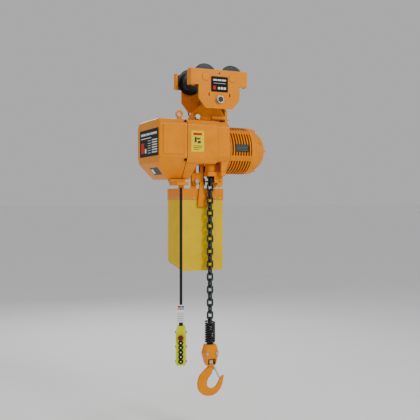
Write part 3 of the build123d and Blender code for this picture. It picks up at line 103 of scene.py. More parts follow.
def surface(
    name,
    colour,
    roughness,
    metallic=0.0,
    coat=0.0,
    specular=0.3,
    mottle=0.10,
    mottle_scale=16.0,
    grain_scale=900.0,
    grain_height=0.00004,
    stretch=(1, 1, 1),
    wear=0.0,
    wear_colour=(0.32, 0.30, 0.28),
    # The strength and colour of the painted shade that darkens hollows.
    painted_shade=0.45,
    painted_shade_colour=(0.03, 0.025, 0.02),
):
    """A finish with clouded colour, fine grain, softened edges, rubbed corners and painted shade in
    hollows.
    """
    material = bpy.data.materials.new(name)
    material.use_nodes = True
    tree = material.node_tree
    shader = tree.nodes["Principled BSDF"]

    def add(kind, **values):
        node = tree.nodes.new(kind)
        for key, value in values.items():
            setattr(node, key, value)
        return node

    def join(source, target):
        tree.links.new(source, target)

    def ranged(source, low, high, start, end):
        node = add("ShaderNodeMapRange")
        join(source, node.inputs["Value"])
        node.inputs["From Min"].default_value = low
        node.inputs["From Max"].default_value = high
        node.inputs["To Min"].default_value = start
        node.inputs["To Max"].default_value = end
        return node.outputs["Result"]

    def noise(scale, detail):
        node = add("ShaderNodeTexNoise")
        node.inputs["Scale"].default_value = scale
        node.inputs["Detail"].default_value = detail
        return node

    def blend_colours(factor, first, second):
        node = add("ShaderNodeMix", data_type="RGBA")
        join(factor, node.inputs["Factor"])
        for value, socket in ((first, node.inputs["A"]), (second, node.inputs["B"])):
            if isinstance(value, tuple):
                socket.default_value = (*value, 1)
            else:
                join(value, socket)
        return node.outputs["Result"]

    place = add("ShaderNodeTexCoord").outputs["Object"]
    cloud = noise(mottle_scale, 4)
    patch = noise(mottle_scale * PATCH_FINENESS, 5)
    grain = noise(grain_scale, 2)
    stretched = add("ShaderNodeMapping")
    stretched.inputs["Scale"].default_value = stretch
    join(place, cloud.inputs["Vector"])
    join(place, patch.inputs["Vector"])
    join(place, stretched.inputs["Vector"])
    join(stretched.outputs["Vector"], grain.inputs["Vector"])

    dark = tuple(max(part * (1 - mottle), 0) for part in colour)
    light = tuple(min(part * (1 + mottle), 1) for part in colour)
    shade = blend_colours(ranged(cloud.outputs["Fac"], NOISE_LOW, NOISE_HIGH, 0, 1), dark, light)

    corner = add("ShaderNodeBevel", samples=4)
    corner.inputs["Radius"].default_value = EDGE_RADIUS
    facing = add("ShaderNodeNewGeometry").outputs["Normal"]
    turned = add("ShaderNodeVectorMath", operation="DOT_PRODUCT")
    join(corner.outputs["Normal"], turned.inputs[0])
    join(facing, turned.inputs[1])

    # Painted shade: the colour darkens toward a shade colour where little of the surroundings is open.
    if painted_shade:
        hollow = add("ShaderNodeAmbientOcclusion", samples=4)
        hollow.inputs["Distance"].default_value = SHADE_REACH
        amount = ranged(hollow.outputs["AO"], 0.25, 0.85, painted_shade, 0)
        shade = blend_colours(amount, shade, painted_shade_colour)
    # Corners, where the rounded normal leaves the face's, are rubbed in patches.
    if wear:
        rubbed = add("ShaderNodeMath", operation="MULTIPLY")
        join(ranged(turned.outputs["Value"], 0.985, 0.90, 0, wear), rubbed.inputs[0])
        join(ranged(patch.outputs["Fac"], 0.50, 0.60, 0, 1), rubbed.inputs[1])
        shade = blend_colours(rubbed.outputs["Value"], shade, wear_colour)
    join(shade, shader.inputs["Base Color"])

    smoothest = roughness * 0.85
    roughest = min(roughness * 1.2, 1)
    gloss = ranged(patch.outputs["Fac"], NOISE_LOW, NOISE_HIGH, smoothest, roughest)
    join(gloss, shader.inputs["Roughness"])
    bump = add("ShaderNodeBump")
    bump.inputs["Distance"].default_value = grain_height
    join(grain.outputs["Fac"], bump.inputs["Height"])
    join(corner.outputs["Normal"], bump.inputs["Normal"])
    join(bump.outputs["Normal"], shader.inputs["Normal"])
    shader.inputs["Metallic"].default_value = metallic
    shader.inputs["Specular IOR Level"].default_value = specular
    shader.inputs["Coat Weight"].default_value = coat
    shader.inputs["Coat Roughness"].default_value = COAT_ROUGHNESS
    return material


ORANGE = (0.86, 0.27, 0.0)
# The colour of the painted shade in the orange parts' hollows.
ORANGE_SHADE = (0.10, 0.02, 0.0)
paints = {
    "orange_paint": surface(
        "orange_sheet", ORANGE, 0.30, coat=0.06, specular=0.08, mottle=0.05,
        wear=0.4, painted_shade_colour=ORANGE_SHADE,
    ),
    "orange_cast": surface(
        "orange_casting", ORANGE, 0.36, coat=0.04, specular=0.08, mottle=0.08,
        grain_scale=260, grain_height=0.0002, wear=0.4, painted_shade_colour=ORANGE_SHADE,
    ),
    "dark_steel": surface("dark_steel", (0.030, 0.032, 0.036), 0.42, metallic=0.4, wear=0.5),
    "zinc_plate": surface(
        "zinc_plate", (0.50, 0.53, 0.44), 0.32, metallic=0.9, mottle=0.2, mottle_scale=60,
    ),
    "black_screw": surface("black_screw", (0.012, 0.012, 0.013), 0.38, metallic=0.3, wear=0.3),
    "label_black": surface(
        "label_black", (0.003, 0.003, 0.003), 0.35, specular=0.08, painted_shade=0, grain_height=0.00001,
    ),
    "drive_grey": surface("drive_grey", (0.025, 0.028, 0.03), 0.42, coat=0.15, wear=0.5),
    "gear_steel": surface(
        "gear_steel", (0.45, 0.45, 0.45), 0.3, metallic=1.0, stretch=(1, 1, 14), painted_shade=0.3,
    ),
    "stator_steel": surface(
        "stator_laminations", (0.20, 0.15, 0.10), 0.5, metallic=0.5,
        grain_scale=300, grain_height=0.0003, stretch=(12, 1, 1),
    ),
    "black_plastic": surface(
        "black_plastic", (0.014, 0.014, 0.016), 0.5, grain_scale=1600, grain_height=0.00006,
    ),
    "chain_steel": surface(
        "chain_steel", (0.055, 0.07, 0.075), 0.28, metallic=0.85, mottle=0.3,
        mottle_scale=70, wear=0.5, wear_colour=(0.30, 0.32, 0.33), painted_shade=0.6,
    ),
    "spring_black": surface("spring_black", (0.006, 0.007, 0.009), 0.3, coat=0.15, painted_shade=0.3),
    "container_yellow": surface(
        "container_yellow", (0.82, 0.53, 0.0), 0.45, specular=0.08, mottle=0.06,
        grain_scale=500, grain_height=0.00007, wear=0.3, painted_shade_colour=(0.16, 0.06, 0.0),
    ),
    "cable_rubber": surface(
        "cable_rubber", (0.010, 0.010, 0.011), 0.42, grain_scale=700, grain_height=0.00005,
    ),
    "pendant_yellow": surface(
        "pendant_yellow", (0.66, 0.72, 0.0), 0.38, specular=0.08, mottle=0.04,
        grain_scale=1500, grain_height=0.00006, wear=0.25, wear_colour=(0.45, 0.42, 0.10),
    ),
    "tag_card": surface(
        "tag_card", (0.86, 0.86, 0.85), 0.4, coat=0.3, painted_shade=0.1, mottle=0.03, grain_height=0.00001,
    ),
    "stop_red": surface("stop_red", (0.16, 0.004, 0.020), 0.3, coat=0.1, painted_shade=0.2),
    "button_black": surface(
        "button_black", (0.008, 0.008, 0.008), 0.42, grain_scale=1500, grain_height=0.00005,
    ),
}
prints = {
    "print_white": surface("print_white", (0.78, 0.78, 0.76), 0.4, mottle=0.05, painted_shade=0),
    "print_red": surface("print_red", (0.62, 0.015, 0.0), 0.4, specular=0.1, mottle=0.05, painted_shade=0),
    "print_blue": surface("print_blue", (0.03, 0.13, 0.45), 0.4, mottle=0.05, painted_shade=0),
    "print_pale": surface("print_pale", (0.10, 0.13, 0.13), 0.4, mottle=0.05, painted_shade=0),
    "print_dark": surface("print_dark", (0.03, 0.03, 0.03), 0.4, mottle=0.05, painted_shade=0),
    "print_yellow": surface("print_yellow", (0.85, 0.68, 0.0), 0.38, specular=0.1, mottle=0.04, painted_shade=0),
    "plate_grey": surface(
        "plate_grey", (0.018, 0.030, 0.030), 0.35, metallic=0.3, mottle=0.08, stretch=(1, 20, 1), painted_shade=0,
    ),
}

# Nodes with a rough cast skin under their paint.
CAST_NODES = {
    "centre_housing", "motor_housing", "motor_end_cover", "hook_block", "suspension_yoke",
    "lifting_eye", "chain_guide", "wheel_axles",
}
slot_of = {row["node"]: row["material_slot"] for row in frame["record"]["subparts"]}
for node_name, node in cad_nodes.items():
    slot_name = slot_of[node_name]
    look = paints["orange_cast"] if node_name in CAST_NODES else paints[slot_name]
    node.data.materials.clear()
    node.data.materials.append(look)


# ------------------------------------------------------------- mesh helpers


def skin(bm, rings, material=0):
    """Faces between rings of vertices, and over the first and last ring."""
    made = []
    for lower, upper in zip(rings, rings[1:]):
        for step in range(len(lower)):
            after = (step + 1) % len(lower)
            made.append(bm.faces.new((lower[step], lower[after], upper[after], upper[step])))
    made.append(bm.faces.new(list(reversed(rings[0]))))
    made.append(bm.faces.new(rings[-1]))
    for face in made:
        face.material_index = material


def lathe(bm, profile, centre, axis, segments=28, material=0):
    """A profile of (radius, height) pairs turned about an axis through centre."""
    turn = Vector(axis).to_track_quat("Z", "Y").to_matrix()
    rings = []
    for radius, height in profile:
        ring = []
        for step in range(segments):
            angle = 2 * math.pi * step / segments
            offset = Vector((radius * math.cos(angle), radius * math.sin(angle), height))
            ring.append(bm.verts.new(point(*(Vector(centre) + turn @ offset))))
        rings.append(ring)
    skin(bm, rings, material)


def sweep(bm, path, radius, sides=12, material=0):
    """A round bar of one radius along a path of points."""
    path = [Vector(place) for place in path]
    heading = (path[1] - path[0]).normalized()
    side = heading.orthogonal().normalized()
    rings = []
    for index, place in enumerate(path):
        before = path[max(index - 1, 0)]
        after = path[min(index + 1, len(path) - 1)]
        heading = (after - before).normalized()
        side = (side - heading * side.dot(heading)).normalized()
        other = heading.cross(side)
        ring = []
        for step in range(sides):
            angle = 2 * math.pi * step / sides
            offset = side * math.cos(angle) + other * math.sin(angle)
            ring.append(bm.verts.new(point(*(place + offset * radius))))
        rings.append(ring)
    skin(bm, rings, material)


def slab(bm, centre, across, up, size, material=0, corner=0.0):
    """A flat block: size is its width, its height and its thickness along across x up."""
    across = Vector(across).normalized()
    up = Vector(up).normalized()
    out = across.cross(up)
    width, height, thick = size
    outline = []
    turns = [0, 0.25, 0.5, 0.75, 1] if corner else [0]
    for quarter in range(4):
        sign_u = 1 if quarter in (0, 3) else -1
        sign_v = 1 if quarter in (0, 1) else -1
        for turn in turns:
            angle = math.pi / 2 * (quarter + turn)
            u = sign_u * (width / 2 - corner) + corner * math.cos(angle)
            v = sign_v * (height / 2 - corner) + corner * math.sin(angle)
            outline.append((u, v))
    rings = []
    for depth in (0, thick):
        ring = []
        for u, v in outline:
            place = Vector(centre) + across * u + up * v + out * depth
            ring.append(bm.verts.new(point(*place)))
        rings.append(ring)
    skin(bm, rings, material)


def rounded(points, radius, steps=6):
    """A closed outline with its corners rounded."""
    made = []
    for index, corner in enumerate(points):
        corner = Vector(corner)
        before = (Vector(points[index - 1]) - corner).normalized()
        after = (Vector(points[(index + 1) % len(points)]) - corner).normalized()
        reach = radius / math.tan(before.angle(after) / 2)
        start = corner + before * reach
        end = corner + after * reach
        for step in range(steps + 1):
            part = step / steps
            made.append(start * (1 - part) ** 2 + corner * 2 * part * (1 - part) + end * part ** 2)
    return made


def piece(name, bm, body, looks, replaced=(), smooth_angle=35):
    """A finished object from a bmesh, riding on a body where one is named."""
    bmesh.ops.recalc_face_normals(bm, faces=bm.faces)
    mesh = bpy.data.meshes.new(name)
    bm.to_mesh(mesh)
    bm.free()
    for look in looks:
        mesh.materials.append(look)
    for polygon in mesh.polygons:
        polygon.use_smooth = True
    mesh.set_sharp_from_angle(angle=math.radians(smooth_angle))
    made = bpy.data.objects.new(name, mesh)
    bpy.context.scene.collection.objects.link(made)
    if body:
        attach(made, body)
    if replaced:
        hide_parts(*replaced)
    return made


# ----------------------------------------------------- camera, light, floor

VIEW_TURN = math.radians(25)  # how far the view comes round from the front towards the control cover
VIEW_SHIFT = -1 / 60  # in widths of the picture

camera_data = bpy.data.cameras.new("camera")
camera_data.sensor_width = 36
camera_data.lens = 61.7
camera_data.shift_y = VIEW_SHIFT
camera = bpy.data.objects.new("camera", camera_data)
camera.location = (-1.4319, -3.0708, -0.527)
camera.rotation_euler = (math.radians(90), 0, -VIEW_TURN)
bpy.context.scene.collection.objects.link(camera)
bpy.context.scene.camera = camera

world = bpy.data.worlds.new("studio")
world.use_nodes = True
world.node_tree.nodes["Background"].inputs["Color"].default_value = (1, 1, 1, 1)
world.node_tree.nodes["Background"].inputs["Strength"].default_value = 0.5
bpy.context.scene.world = world

# Each area light's name, place, width in metres and power in watts.
LIGHTS = [
    ("key_light", (1.3, -3.3, 1.5), 1.2, 80),
    ("left_fill", (-3.2, -1.6, 0.6), 1.8, 12),
    ("back_light", (0.4, 3.2, 1.4), 1.8, 60),
]
TARGET = Vector((0, 0, -0.5))
for light_name, place, size, power in LIGHTS:
    lamp = bpy.data.lights.new(light_name, "AREA")
    lamp.size = size
    lamp.energy = power
    light = bpy.data.objects.new(light_name, lamp)
    light.location = place
    light.rotation_euler = (TARGET - Vector(place)).to_track_quat("-Z", "Y").to_euler()
    bpy.context.scene.collection.objects.link(light)

FLOOR_Z = -1600
FLOOR_WIDTH = 600000
FLOOR_THICKNESS = 10
floor_mesh = bmesh.new()
floor_centre = (0, 0, FLOOR_Z - FLOOR_THICKNESS)
slab(floor_mesh, floor_centre, RIGHT, BACK, (FLOOR_WIDTH, FLOOR_WIDTH, FLOOR_THICKNESS))
floor_look = surface(
    "studio_floor", (0.95, 0.95, 0.95), 0.7, mottle=0.01, mottle_scale=2, painted_shade=0, grain_height=0.00001,
)
floor = piece("studio_floor", floor_mesh, None, [floor_look])


# --------------------------------------------------------------- load hook

# Inner and outer edge of the forging as (x, z), and half its thickness, from the neck to the tip.
HOOK_STATIONS = [
    ((12, -1262), (-12, -1262), 12),
    ((12, -1280), (-12, -1280), 12),
    ((13, -1298), (-13, -1297), 12),
    ((13, -1312), (-27, -1306), 11.5),
    ((11, -1326), (-43, -1321), 10.5),
    ((0, -1340), (-55, -1334), 10.5),
    ((-9, -1351), (-62, -1350), 11),
    ((-15, -1365), (-66, -1372), 11.5),
    ((-16, -1379), (-62, -1398), 12),
    ((-10, -1391), (-47, -1418), 12),
    ((1, -1397), (-24, -1431), 12),
    ((12, -1397.5), (5, -1434), 12),
    ((24, -1393), (32, -1425), 11.5),
    ((34, -1384), (51, -1407), 11),
    ((42, -1371), (62, -1388), 10),
    ((49, -1358), (68, -1368), 8.5),
    ((57, -1348), (71, -1353), 6.5),
    ((65, -1342), (71.5, -1345), 4),
    ((69, -1340.5), (71, -1341.5), 2),
]
HOOK_SIDES = 40
HOOK_SUBSTEPS = 4
HOOK_THICKEST = 11.9  # the most that half the thickness may be
HOOK_EDGE_POWER = 0.85  # powers below 1 square the round section off
HOOK_SIDE_POWER = 0.80
HOOK_SIDE = 0.92  # half thickness at the middle of a section, as a part of the station's
HOOK_TAPER = 0.08  # how much thicker it grows towards its inner edge, and thinner towards its outer
HOOK_NECK = 3  # the last station before the hollow along the sides starts
GROOVE_DEPTH = 0.16  # as a part of the half thickness
GROOVE_CENTRE = -0.15  # from -1 at the outer edge to 1 at the inner edge
GROOVE_WIDTH = 0.30


def eased(values, index, part):
    """A smooth value between values[index] and values[index + 1]."""
    last = len(values) - 1
    a, b, c, d = (values[min(max(index + shift, 0), last)] for shift in (-1, 0, 1, 2))
    return 0.5 * (
        2 * b + (c - a) * part + (2 * a - 5 * b + 4 * c - d) * part ** 2
        + (3 * b - 3 * c + d - a) * part ** 3
    )


hook_columns = list(zip(*((*inner, *outer, thick) for inner, outer, thick in HOOK_STATIONS)))
hook_mesh = bmesh.new()
hook_rings = []
for index in range(len(HOOK_STATIONS) - 1):
    for substep in range(HOOK_SUBSTEPS):
        part = substep / HOOK_SUBSTEPS
        in_x, in_z, out_x, out_z, thick = (eased(column, index, part) for column in hook_columns)
        middle = Vector(((in_x + out_x) / 2, 0, (in_z + out_z) / 2))
        reach = Vector(((in_x - out_x) / 2, 0, (in_z - out_z) / 2))
        ring = []
        for step in range(HOOK_SIDES):
            angle = 2 * math.pi * step / HOOK_SIDES
            along = math.copysign(abs(math.cos(angle)) ** HOOK_EDGE_POWER, math.cos(angle))
            aside = math.copysign(abs(math.sin(angle)) ** HOOK_SIDE_POWER, math.sin(angle))
            aside *= HOOK_SIDE + HOOK_TAPER * along
            if index > HOOK_NECK:
                aside *= 1 - GROOVE_DEPTH * math.exp(-((along - GROOVE_CENTRE) / GROOVE_WIDTH) ** 2)
            offset = reach * along + Vector((0, min(thick, HOOK_THICKEST) * aside, 0))
            ring.append(hook_mesh.verts.new(point(*(middle + offset))))
        hook_rings.append(ring)
skin(hook_mesh, hook_rings)
# The boss that the latch turns on, and the web that joins it to the forging.
LATCH_BOSS = [(4.5, -8.5), (5.5, -7.5), (5.5, 7.5), (4.5, 8.5)]
LATCH_PIVOT = (19, 0, -1304)
LATCH_WEB_CENTRE = (12, 4.5, -1303)
LATCH_WEB_SIZE = (16, 12, 9)
lathe(hook_mesh, LATCH_BOSS, LATCH_PIVOT, BACK)
slab(hook_mesh, LATCH_WEB_CENTRE, RIGHT, UP, LATCH_WEB_SIZE, corner=3)
piece("forged_hook", hook_mesh, "hook", [paints["orange_cast"]], ["load_hook"], 50)


# ------------------------------------------------------------ buffer spring

SPRING_RADIUS = 21.8
SPRING_WIRE = 4.0
SPRING_TURNS = 9.5
SPRING_STEPS = 28
spring_low, spring_high = (corner.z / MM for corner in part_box("buffer_spring"))
spring_travel = spring_high - spring_low - 2 * SPRING_WIRE
spring_path = []
for step in range(int(SPRING_TURNS * SPRING_STEPS) + 1):
    turn = step / SPRING_STEPS
    angle = 2 * math.pi * turn
    rise = spring_travel * turn / SPRING_TURNS
    spring_path.append((
        SPRING_RADIUS * math.cos(angle), SPRING_RADIUS * math.sin(angle),
        spring_low + SPRING_WIRE + rise,
    ))
spring_mesh = bmesh.new()
sweep(spring_mesh, spring_path, SPRING_WIRE, 12)
piece(
    "coiled_buffer_spring", spring_mesh, "bottom_block",
    [paints["spring_black"]], ["buffer_spring"], 60,
)


# ------------------------------------------------------------------- labels

# Parts of a label's thickness: its plate, where its marks start, and how thick they are.
PLATE_PART = 0.8
MARK_START = 0.7
MARK_PART = 0.25


def label(name, body, centre, across, size, marks, looks, replaced=(), corner=3, up=UP):
    """A thin plate with printed blocks.

    A mark is a block's left, bottom, right and top, in parts of the plate, and the look it has.
    """
    width, height, thick = size
    across = Vector(across).normalized()
    up = Vector(up).normalized()
    out = across.cross(up)
    bm = bmesh.new()
    slab(bm, centre, across, up, (width, height, thick * PLATE_PART), 0, corner)
    for left, bottom, right, top, look in marks:
        place = Vector(centre) + out * thick * MARK_START
        place += across * width * ((left + right) / 2 - 0.5)
        place += up * height * ((bottom + top) / 2 - 0.5)
        block = (width * (right - left), height * (top - bottom), thick * MARK_PART)
        slab(bm, place, across, up, block, look)
    return piece(name, bm, body, looks, replaced)


END_LABEL_CENTRE = (-290, 40, -252)
END_LABEL_SIZE = (244, 124, 1.0)
RATING_PLATE_CENTRE = (-262.5, 24, -381.5)
RATING_PLATE_SIZE = (100, 40, 1.0)
BEVEL_UP = Vector((-55, 0, 73))
HOUSING_LABEL_CENTRE = (-104, -91, -247)
HOUSING_LABEL_SIZE = (64, 96, 1.0)
MOTOR_LABEL_CENTRE = (135, -66.8, -269)
MOTOR_LABEL_SIZE = (72, 34, 2.0)
LABEL_LOOKS = [paints["label_black"], prints["print_white"], prints["print_red"]]
PLATE_LOOKS = [prints["plate_grey"], prints["print_dark"], prints["print_white"]]
HOUSING_LOOKS = [prints["print_yellow"], prints["print_red"], prints["print_dark"]]

end_marks = [
    (0.07, 0.79, 0.34, 0.87, 1),
    (0.37, 0.79, 0.55, 0.87, 1),
    (0.58, 0.79, 0.92, 0.87, 1),
    (0.07, 0.67, 0.62, 0.70, 1),
    (0.08, 0.14, 0.24, 0.52, 2),
    (0.28, 0.14, 0.37, 0.30, 1),
]
end_marks += [(0.66, 0.12 + 0.09 * row, 0.94, 0.165 + 0.09 * row, 1) for row in range(6)]
end_marks += [(0.44, 0.12 + 0.09 * row, 0.60, 0.14 + 0.09 * row, 1) for row in range(6)]
label(
    "end_label", "hoist", END_LABEL_CENTRE, FRONT, END_LABEL_SIZE,
    end_marks, LABEL_LOOKS, ["hoist_labels"], 5,
)
plate_marks = [(0.40, 0.14 + 0.19 * row, 0.94, 0.26 + 0.19 * row, 1) for row in range(4)]
plate_marks.append((0.06, 0.20, 0.32, 0.80, 2))
label(
    "rating_plate", "hoist", RATING_PLATE_CENTRE, FRONT, RATING_PLATE_SIZE,
    plate_marks, PLATE_LOOKS, ["hoist_labels"], 2, BEVEL_UP,
)
housing_marks = [
    (0.16, 0.78, 0.84, 0.90, 1),
    (0.26, 0.44, 0.42, 0.70, 2),
    (0.50, 0.40, 0.74, 0.52, 2),
    (0.44, 0.58, 0.70, 0.66, 2),
    (0.18, 0.26, 0.82, 0.29, 2),
    (0.18, 0.18, 0.82, 0.21, 2),
    (0.18, 0.10, 0.60, 0.13, 2),
]
label(
    "housing_label", "hoist", HOUSING_LABEL_CENTRE, RIGHT, HOUSING_LABEL_SIZE,
    housing_marks, HOUSING_LOOKS, ["hoist_labels"], 4,
)
motor_marks = [(0.08, 0.16 + 0.2 * row, 0.92, 0.24 + 0.2 * row, 1) for row in range(4)]
label(
    "motor_label", "hoist", MOTOR_LABEL_CENTRE, RIGHT, MOTOR_LABEL_SIZE,
    motor_marks, [prints["plate_grey"], prints["print_pale"]], ["hoist_labels"], 2,
)
name_low, name_high = (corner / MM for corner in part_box("trolley_nameplate"))
name_marks = [
    (0.12, 0.72, 0.36, 0.82, 1),
    (0.39, 0.72, 0.60, 0.82, 1),
    (0.63, 0.72, 0.88, 0.82, 1),
    (0.14, 0.55, 0.86, 0.57, 1),
    (0.12, 0.14, 0.28, 0.38, 2),
    (0.40, 0.17, 0.54, 0.32, 1),
    (0.58, 0.17, 0.70, 0.32, 1),
    (0.74, 0.17, 0.88, 0.32, 1),
]
label(
    "trolley_plate_label", "trolley",
    ((name_low.x + name_high.x) / 2, name_high.y, (name_low.z + name_high.z) / 2), RIGHT,
    (name_high.x - name_low.x, name_high.z - name_low.z, name_high.y - name_low.y),
    name_marks, LABEL_LOOKS, ["trolley_nameplate"], 4,
)


# ------------------------------------------------------------------- screws


def screw(bm, centre, axis, radius, height, material=0):
    """A socket head with its underside at centre."""
    edge = radius * 0.14
    lathe(
        bm,
        [
            (radius, 0), (radius, height - edge), (radius - edge, height),
            (radius * 0.56, height), (radius * 0.50, height * 0.45), (0.3, height * 0.42),
        ],
        centre, axis, 24, material,
    )


COVER_SCREW_X = -161
COVER_SCREWS = [(-158, -79, 189), (-332, -81, 191)]  # height, front face and back face
MOTOR_Y = 46.17  # the motor's axis
MOTOR_Z = -275
RIM_SCREW_X = 228
RIM_SCREW_CIRCLE = 104
RIM_SCREWS = 8
# Radius and height of each kind of head.
COVER_HEAD = (6.2, 6)
RIM_HEAD = (6, 13)
DRIVE_HEAD = (4.2, 4)

screw_mesh = bmesh.new()
for screw_z, front_y, back_y in COVER_SCREWS:
    screw(screw_mesh, (COVER_SCREW_X, front_y, screw_z), FRONT, *COVER_HEAD)
    screw(screw_mesh, (COVER_SCREW_X, back_y, screw_z), BACK, *COVER_HEAD)
for index in range(RIM_SCREWS):
    angle = 2 * math.pi * (index + 0.5) / RIM_SCREWS
    rim_y = MOTOR_Y + RIM_SCREW_CIRCLE * math.cos(angle)
    rim_z = MOTOR_Z + RIM_SCREW_CIRCLE * math.sin(angle)
    screw(screw_mesh, (RIM_SCREW_X, rim_y, rim_z), RIGHT, *RIM_HEAD, 1)
piece(
    "cover_screw_heads", screw_mesh, "hoist",
    [paints["black_screw"], paints["orange_paint"]], ["housing_screws"],
)

# Outline of the joint between the control cover and the housing, as (y, z).
SEAM = [
    (-67, -147.6), (-90.3, -170), (-90.3, -317), (-20, -417.4),
    (130, -417.4), (199.6, -317), (199.6, -170), (176.4, -147.6),
]
SEAM_X = -153.5
SEAM_CORNER = 13
GASKET_RADIUS = 1.4
seam_mesh = bmesh.new()
seam_path = [(SEAM_X, place.x, place.y) for place in rounded(SEAM, SEAM_CORNER)]
sweep(seam_mesh, seam_path + seam_path[:1], GASKET_RADIUS, 8)
piece("cover_gasket", seam_mesh, "hoist", [paints["cable_rubber"]])

DRIVE_SCREW_INSET = 11
DRIVE_SCREW_SINK = 4.4
drive_mesh = bmesh.new()
drive_low, drive_high = (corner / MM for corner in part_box("trolley_gearbox"))
drive_face_y = drive_high.y - DRIVE_SCREW_SINK
for screw_x in (-37, 0, 37):
    for screw_z in (drive_low.z + DRIVE_SCREW_INSET, drive_high.z - DRIVE_SCREW_INSET):
        screw(drive_mesh, (screw_x, drive_face_y, screw_z), BACK, *DRIVE_HEAD)
piece("drive_screw_heads", drive_mesh, "trolley", [paints["zinc_plate"]])

RIVET_PROFILE = [(3.8, 0), (3.6, 0.9), (2.6, 1.7), (1.2, 2.1), (0.2, 2.2)]
RIVET_PITCH = 27
RIVET_Z = -503
FRONT_RIVETS = 8
LEFT_RIVETS = 6
COLLAR_CENTRE = (-27.5, 110.5)
COLLAR_FRONT_Y = 29
COLLAR_LEFT_X = -139
rivet_mesh = bmesh.new()
for index in range(FRONT_RIVETS):
    rivet_x = COLLAR_CENTRE[0] + RIVET_PITCH * (index - (FRONT_RIVETS - 1) / 2)
    lathe(rivet_mesh, RIVET_PROFILE, (rivet_x, COLLAR_FRONT_Y, RIVET_Z), FRONT, 16)
for index in range(LEFT_RIVETS):
    rivet_y = COLLAR_CENTRE[1] + RIVET_PITCH * (index - (LEFT_RIVETS - 1) / 2)
    lathe(rivet_mesh, RIVET_PROFILE, (COLLAR_LEFT_X, rivet_y, RIVET_Z), LEFT, 16)
piece("collar_rivets", rivet_mesh, "hoist", [paints["zinc_plate"]])


# ------------------------------------------------------------------- cables


def nurbs(name, points, radius=0.0):
    """A smooth open curve with the given control points."""
    data = bpy.data.curves.new(name, "CURVE")
    data.dimensions = "3D"
    data.bevel_depth = radius * MM
    data.bevel_resolution = 5
    data.resolution_u = 16
    data.use_fill_caps = True
    spline = data.splines.new("NURBS")
    spline.points.add(len(points) - 1)
    for control, place in zip(spline.points, points):
        control.co = (*point(*place), 1)
    spline.order_u = 3
    spline.use_endpoint_u = True
    made = bpy.data.objects.new(name, data)
    bpy.context.scene.collection.objects.link(made)
    return made


def run_of(points):
    """The points along a NURBS route, in millimetres."""
    route = nurbs("route", points)
    bpy.context.view_layer.update()
    line = bpy.data.meshes.new_from_object(route)
    found = [vertex.co / MM for vertex in line.vertices]
    bpy.data.objects.remove(route)
    bpy.data.meshes.remove(line)
    return found


PENDANT_X = -173
PENDANT_Y = -60
CONTROL_CABLE_RADIUS = 6.5
LINK_CABLE_RADIUS = 3.5
cable_route = [(PENDANT_X, PENDANT_Y, z) for z in (-457, -520, -690, -860, -1020, -1082)]
pendant_cable = nurbs("control_cable", cable_route, CONTROL_CABLE_RADIUS)
pendant_cable.data.materials.append(paints["cable_rubber"])
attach(pendant_cable, "pendant")
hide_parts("pendant_cable")

link_route = [(-45, 142, -133), (-45, 142, -108), (-49, 146, -83), (-48, 151, -58), (-45, 152, -34)]
link_path = run_of(link_route)
link_mesh = bmesh.new()
sweep(link_mesh, link_path, LINK_CABLE_RADIUS, 16)
link_cable = piece(
    "trolley_link_cable", link_mesh, None, [paints["cable_rubber"]], ["trolley_cable"], 60,
)
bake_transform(link_cable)


# ------------------------------------------------------- pendant and its tag

FACE_TURN = math.radians(25)  # the pendant's face looks forwards and to the left
BUTTON_TOP_Z = -1157
BUTTON_PITCH = 20.8
# Depths of the buttons' and the casing's faces in front of the cable's middle line.
BUTTON_FACE = 27
CASING_FACE = 21.6
FACE_ACROSS = Vector((math.cos(FACE_TURN), -math.sin(FACE_TURN), 0))
FACE_OUT = FACE_ACROSS.cross(UP)
PENDANT_AXIS = Vector((PENDANT_X, PENDANT_Y, 0))


def on_face(depth, z):
    """A place on the pendant's middle line, a depth in front of the cable."""
    return PENDANT_AXIS + FACE_OUT * depth + UP * z


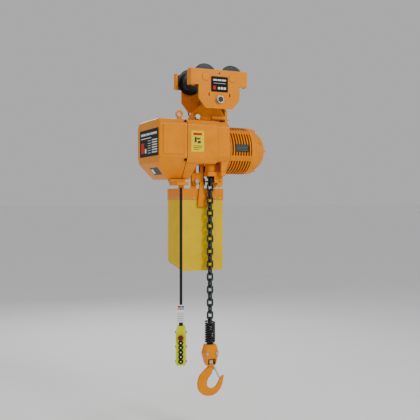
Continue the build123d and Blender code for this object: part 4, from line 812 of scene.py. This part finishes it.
BUTTONS = ["button_up", "button_down", "button_left", "button_right", "button_start"]
MARK_PROFILE = [(3.2, -0.4), (3.2, 0.2), (2.9, 0.5), (1.4, 0.5), (1.2, 0.3), (0.2, 0.3)]
BEZEL_PROFILE = [(11.6, 0.0), (11.6, 0.8), (11.0, 1.3), (10.2, 1.3), (10.2, 0.0)]
for index, button in enumerate(BUTTONS):
    mark_mesh = bmesh.new()
    mark_centre = on_face(BUTTON_FACE, BUTTON_TOP_Z - BUTTON_PITCH * index)
    lathe(mark_mesh, MARK_PROFILE, mark_centre, FACE_OUT, 24)
    piece(button + "_mark", mark_mesh, button, [prints["print_white"]])
bezel_mesh = bmesh.new()
for index in range(len(BUTTONS)):
    bezel_centre = on_face(CASING_FACE, BUTTON_TOP_Z - BUTTON_PITCH * index)
    lathe(bezel_mesh, BEZEL_PROFILE, bezel_centre, FACE_OUT, 32)
piece("button_bezels", bezel_mesh, "pendant", [paints["button_black"]])

tag_marks = [
    (0.08, 0.84, 0.52, 0.95, 1),
    (0.56, 0.84, 0.92, 0.95, 2),
    (0.08, 0.74, 0.92, 0.80, 3),
]
tag_marks += [(0.10, 0.12 + 0.10 * row, 0.88, 0.14 + 0.10 * row, 3) for row in range(5)]
TAG_CENTRE = on_face(8, -1027)
TAG_SIZE = (36, 79, 1.0)
TAG_LOOKS = [paints["tag_card"], prints["print_red"], prints["print_blue"], prints["print_dark"]]
label(
    "cable_tag_card", "pendant", TAG_CENTRE, FACE_ACROSS, TAG_SIZE,
    tag_marks, TAG_LOOKS, ["cable_tag"],
)
TIE_Z = -994
TIE_SLANT = 1.5
TIE_STEPS = 24
TIE_ACROSS = 7.4  # how far the tie's loop reaches sideways and forwards from the cable
TIE_OUT = 7.6
TIE_RADIUS = 0.9
tie_mesh = bmesh.new()
tie_path = []
for step in range(TIE_STEPS + 1):
    angle = 2 * math.pi * step / TIE_STEPS
    offset = FACE_ACROSS * TIE_ACROSS * math.cos(angle) + FACE_OUT * TIE_OUT * math.sin(angle)
    tie_path.append(PENDANT_AXIS + offset + UP * (TIE_Z - TIE_SLANT * math.sin(angle)))
sweep(tie_mesh, tie_path, TIE_RADIUS, 8)
piece("tag_tie", tie_mesh, "pendant", [paints["tag_card"]])
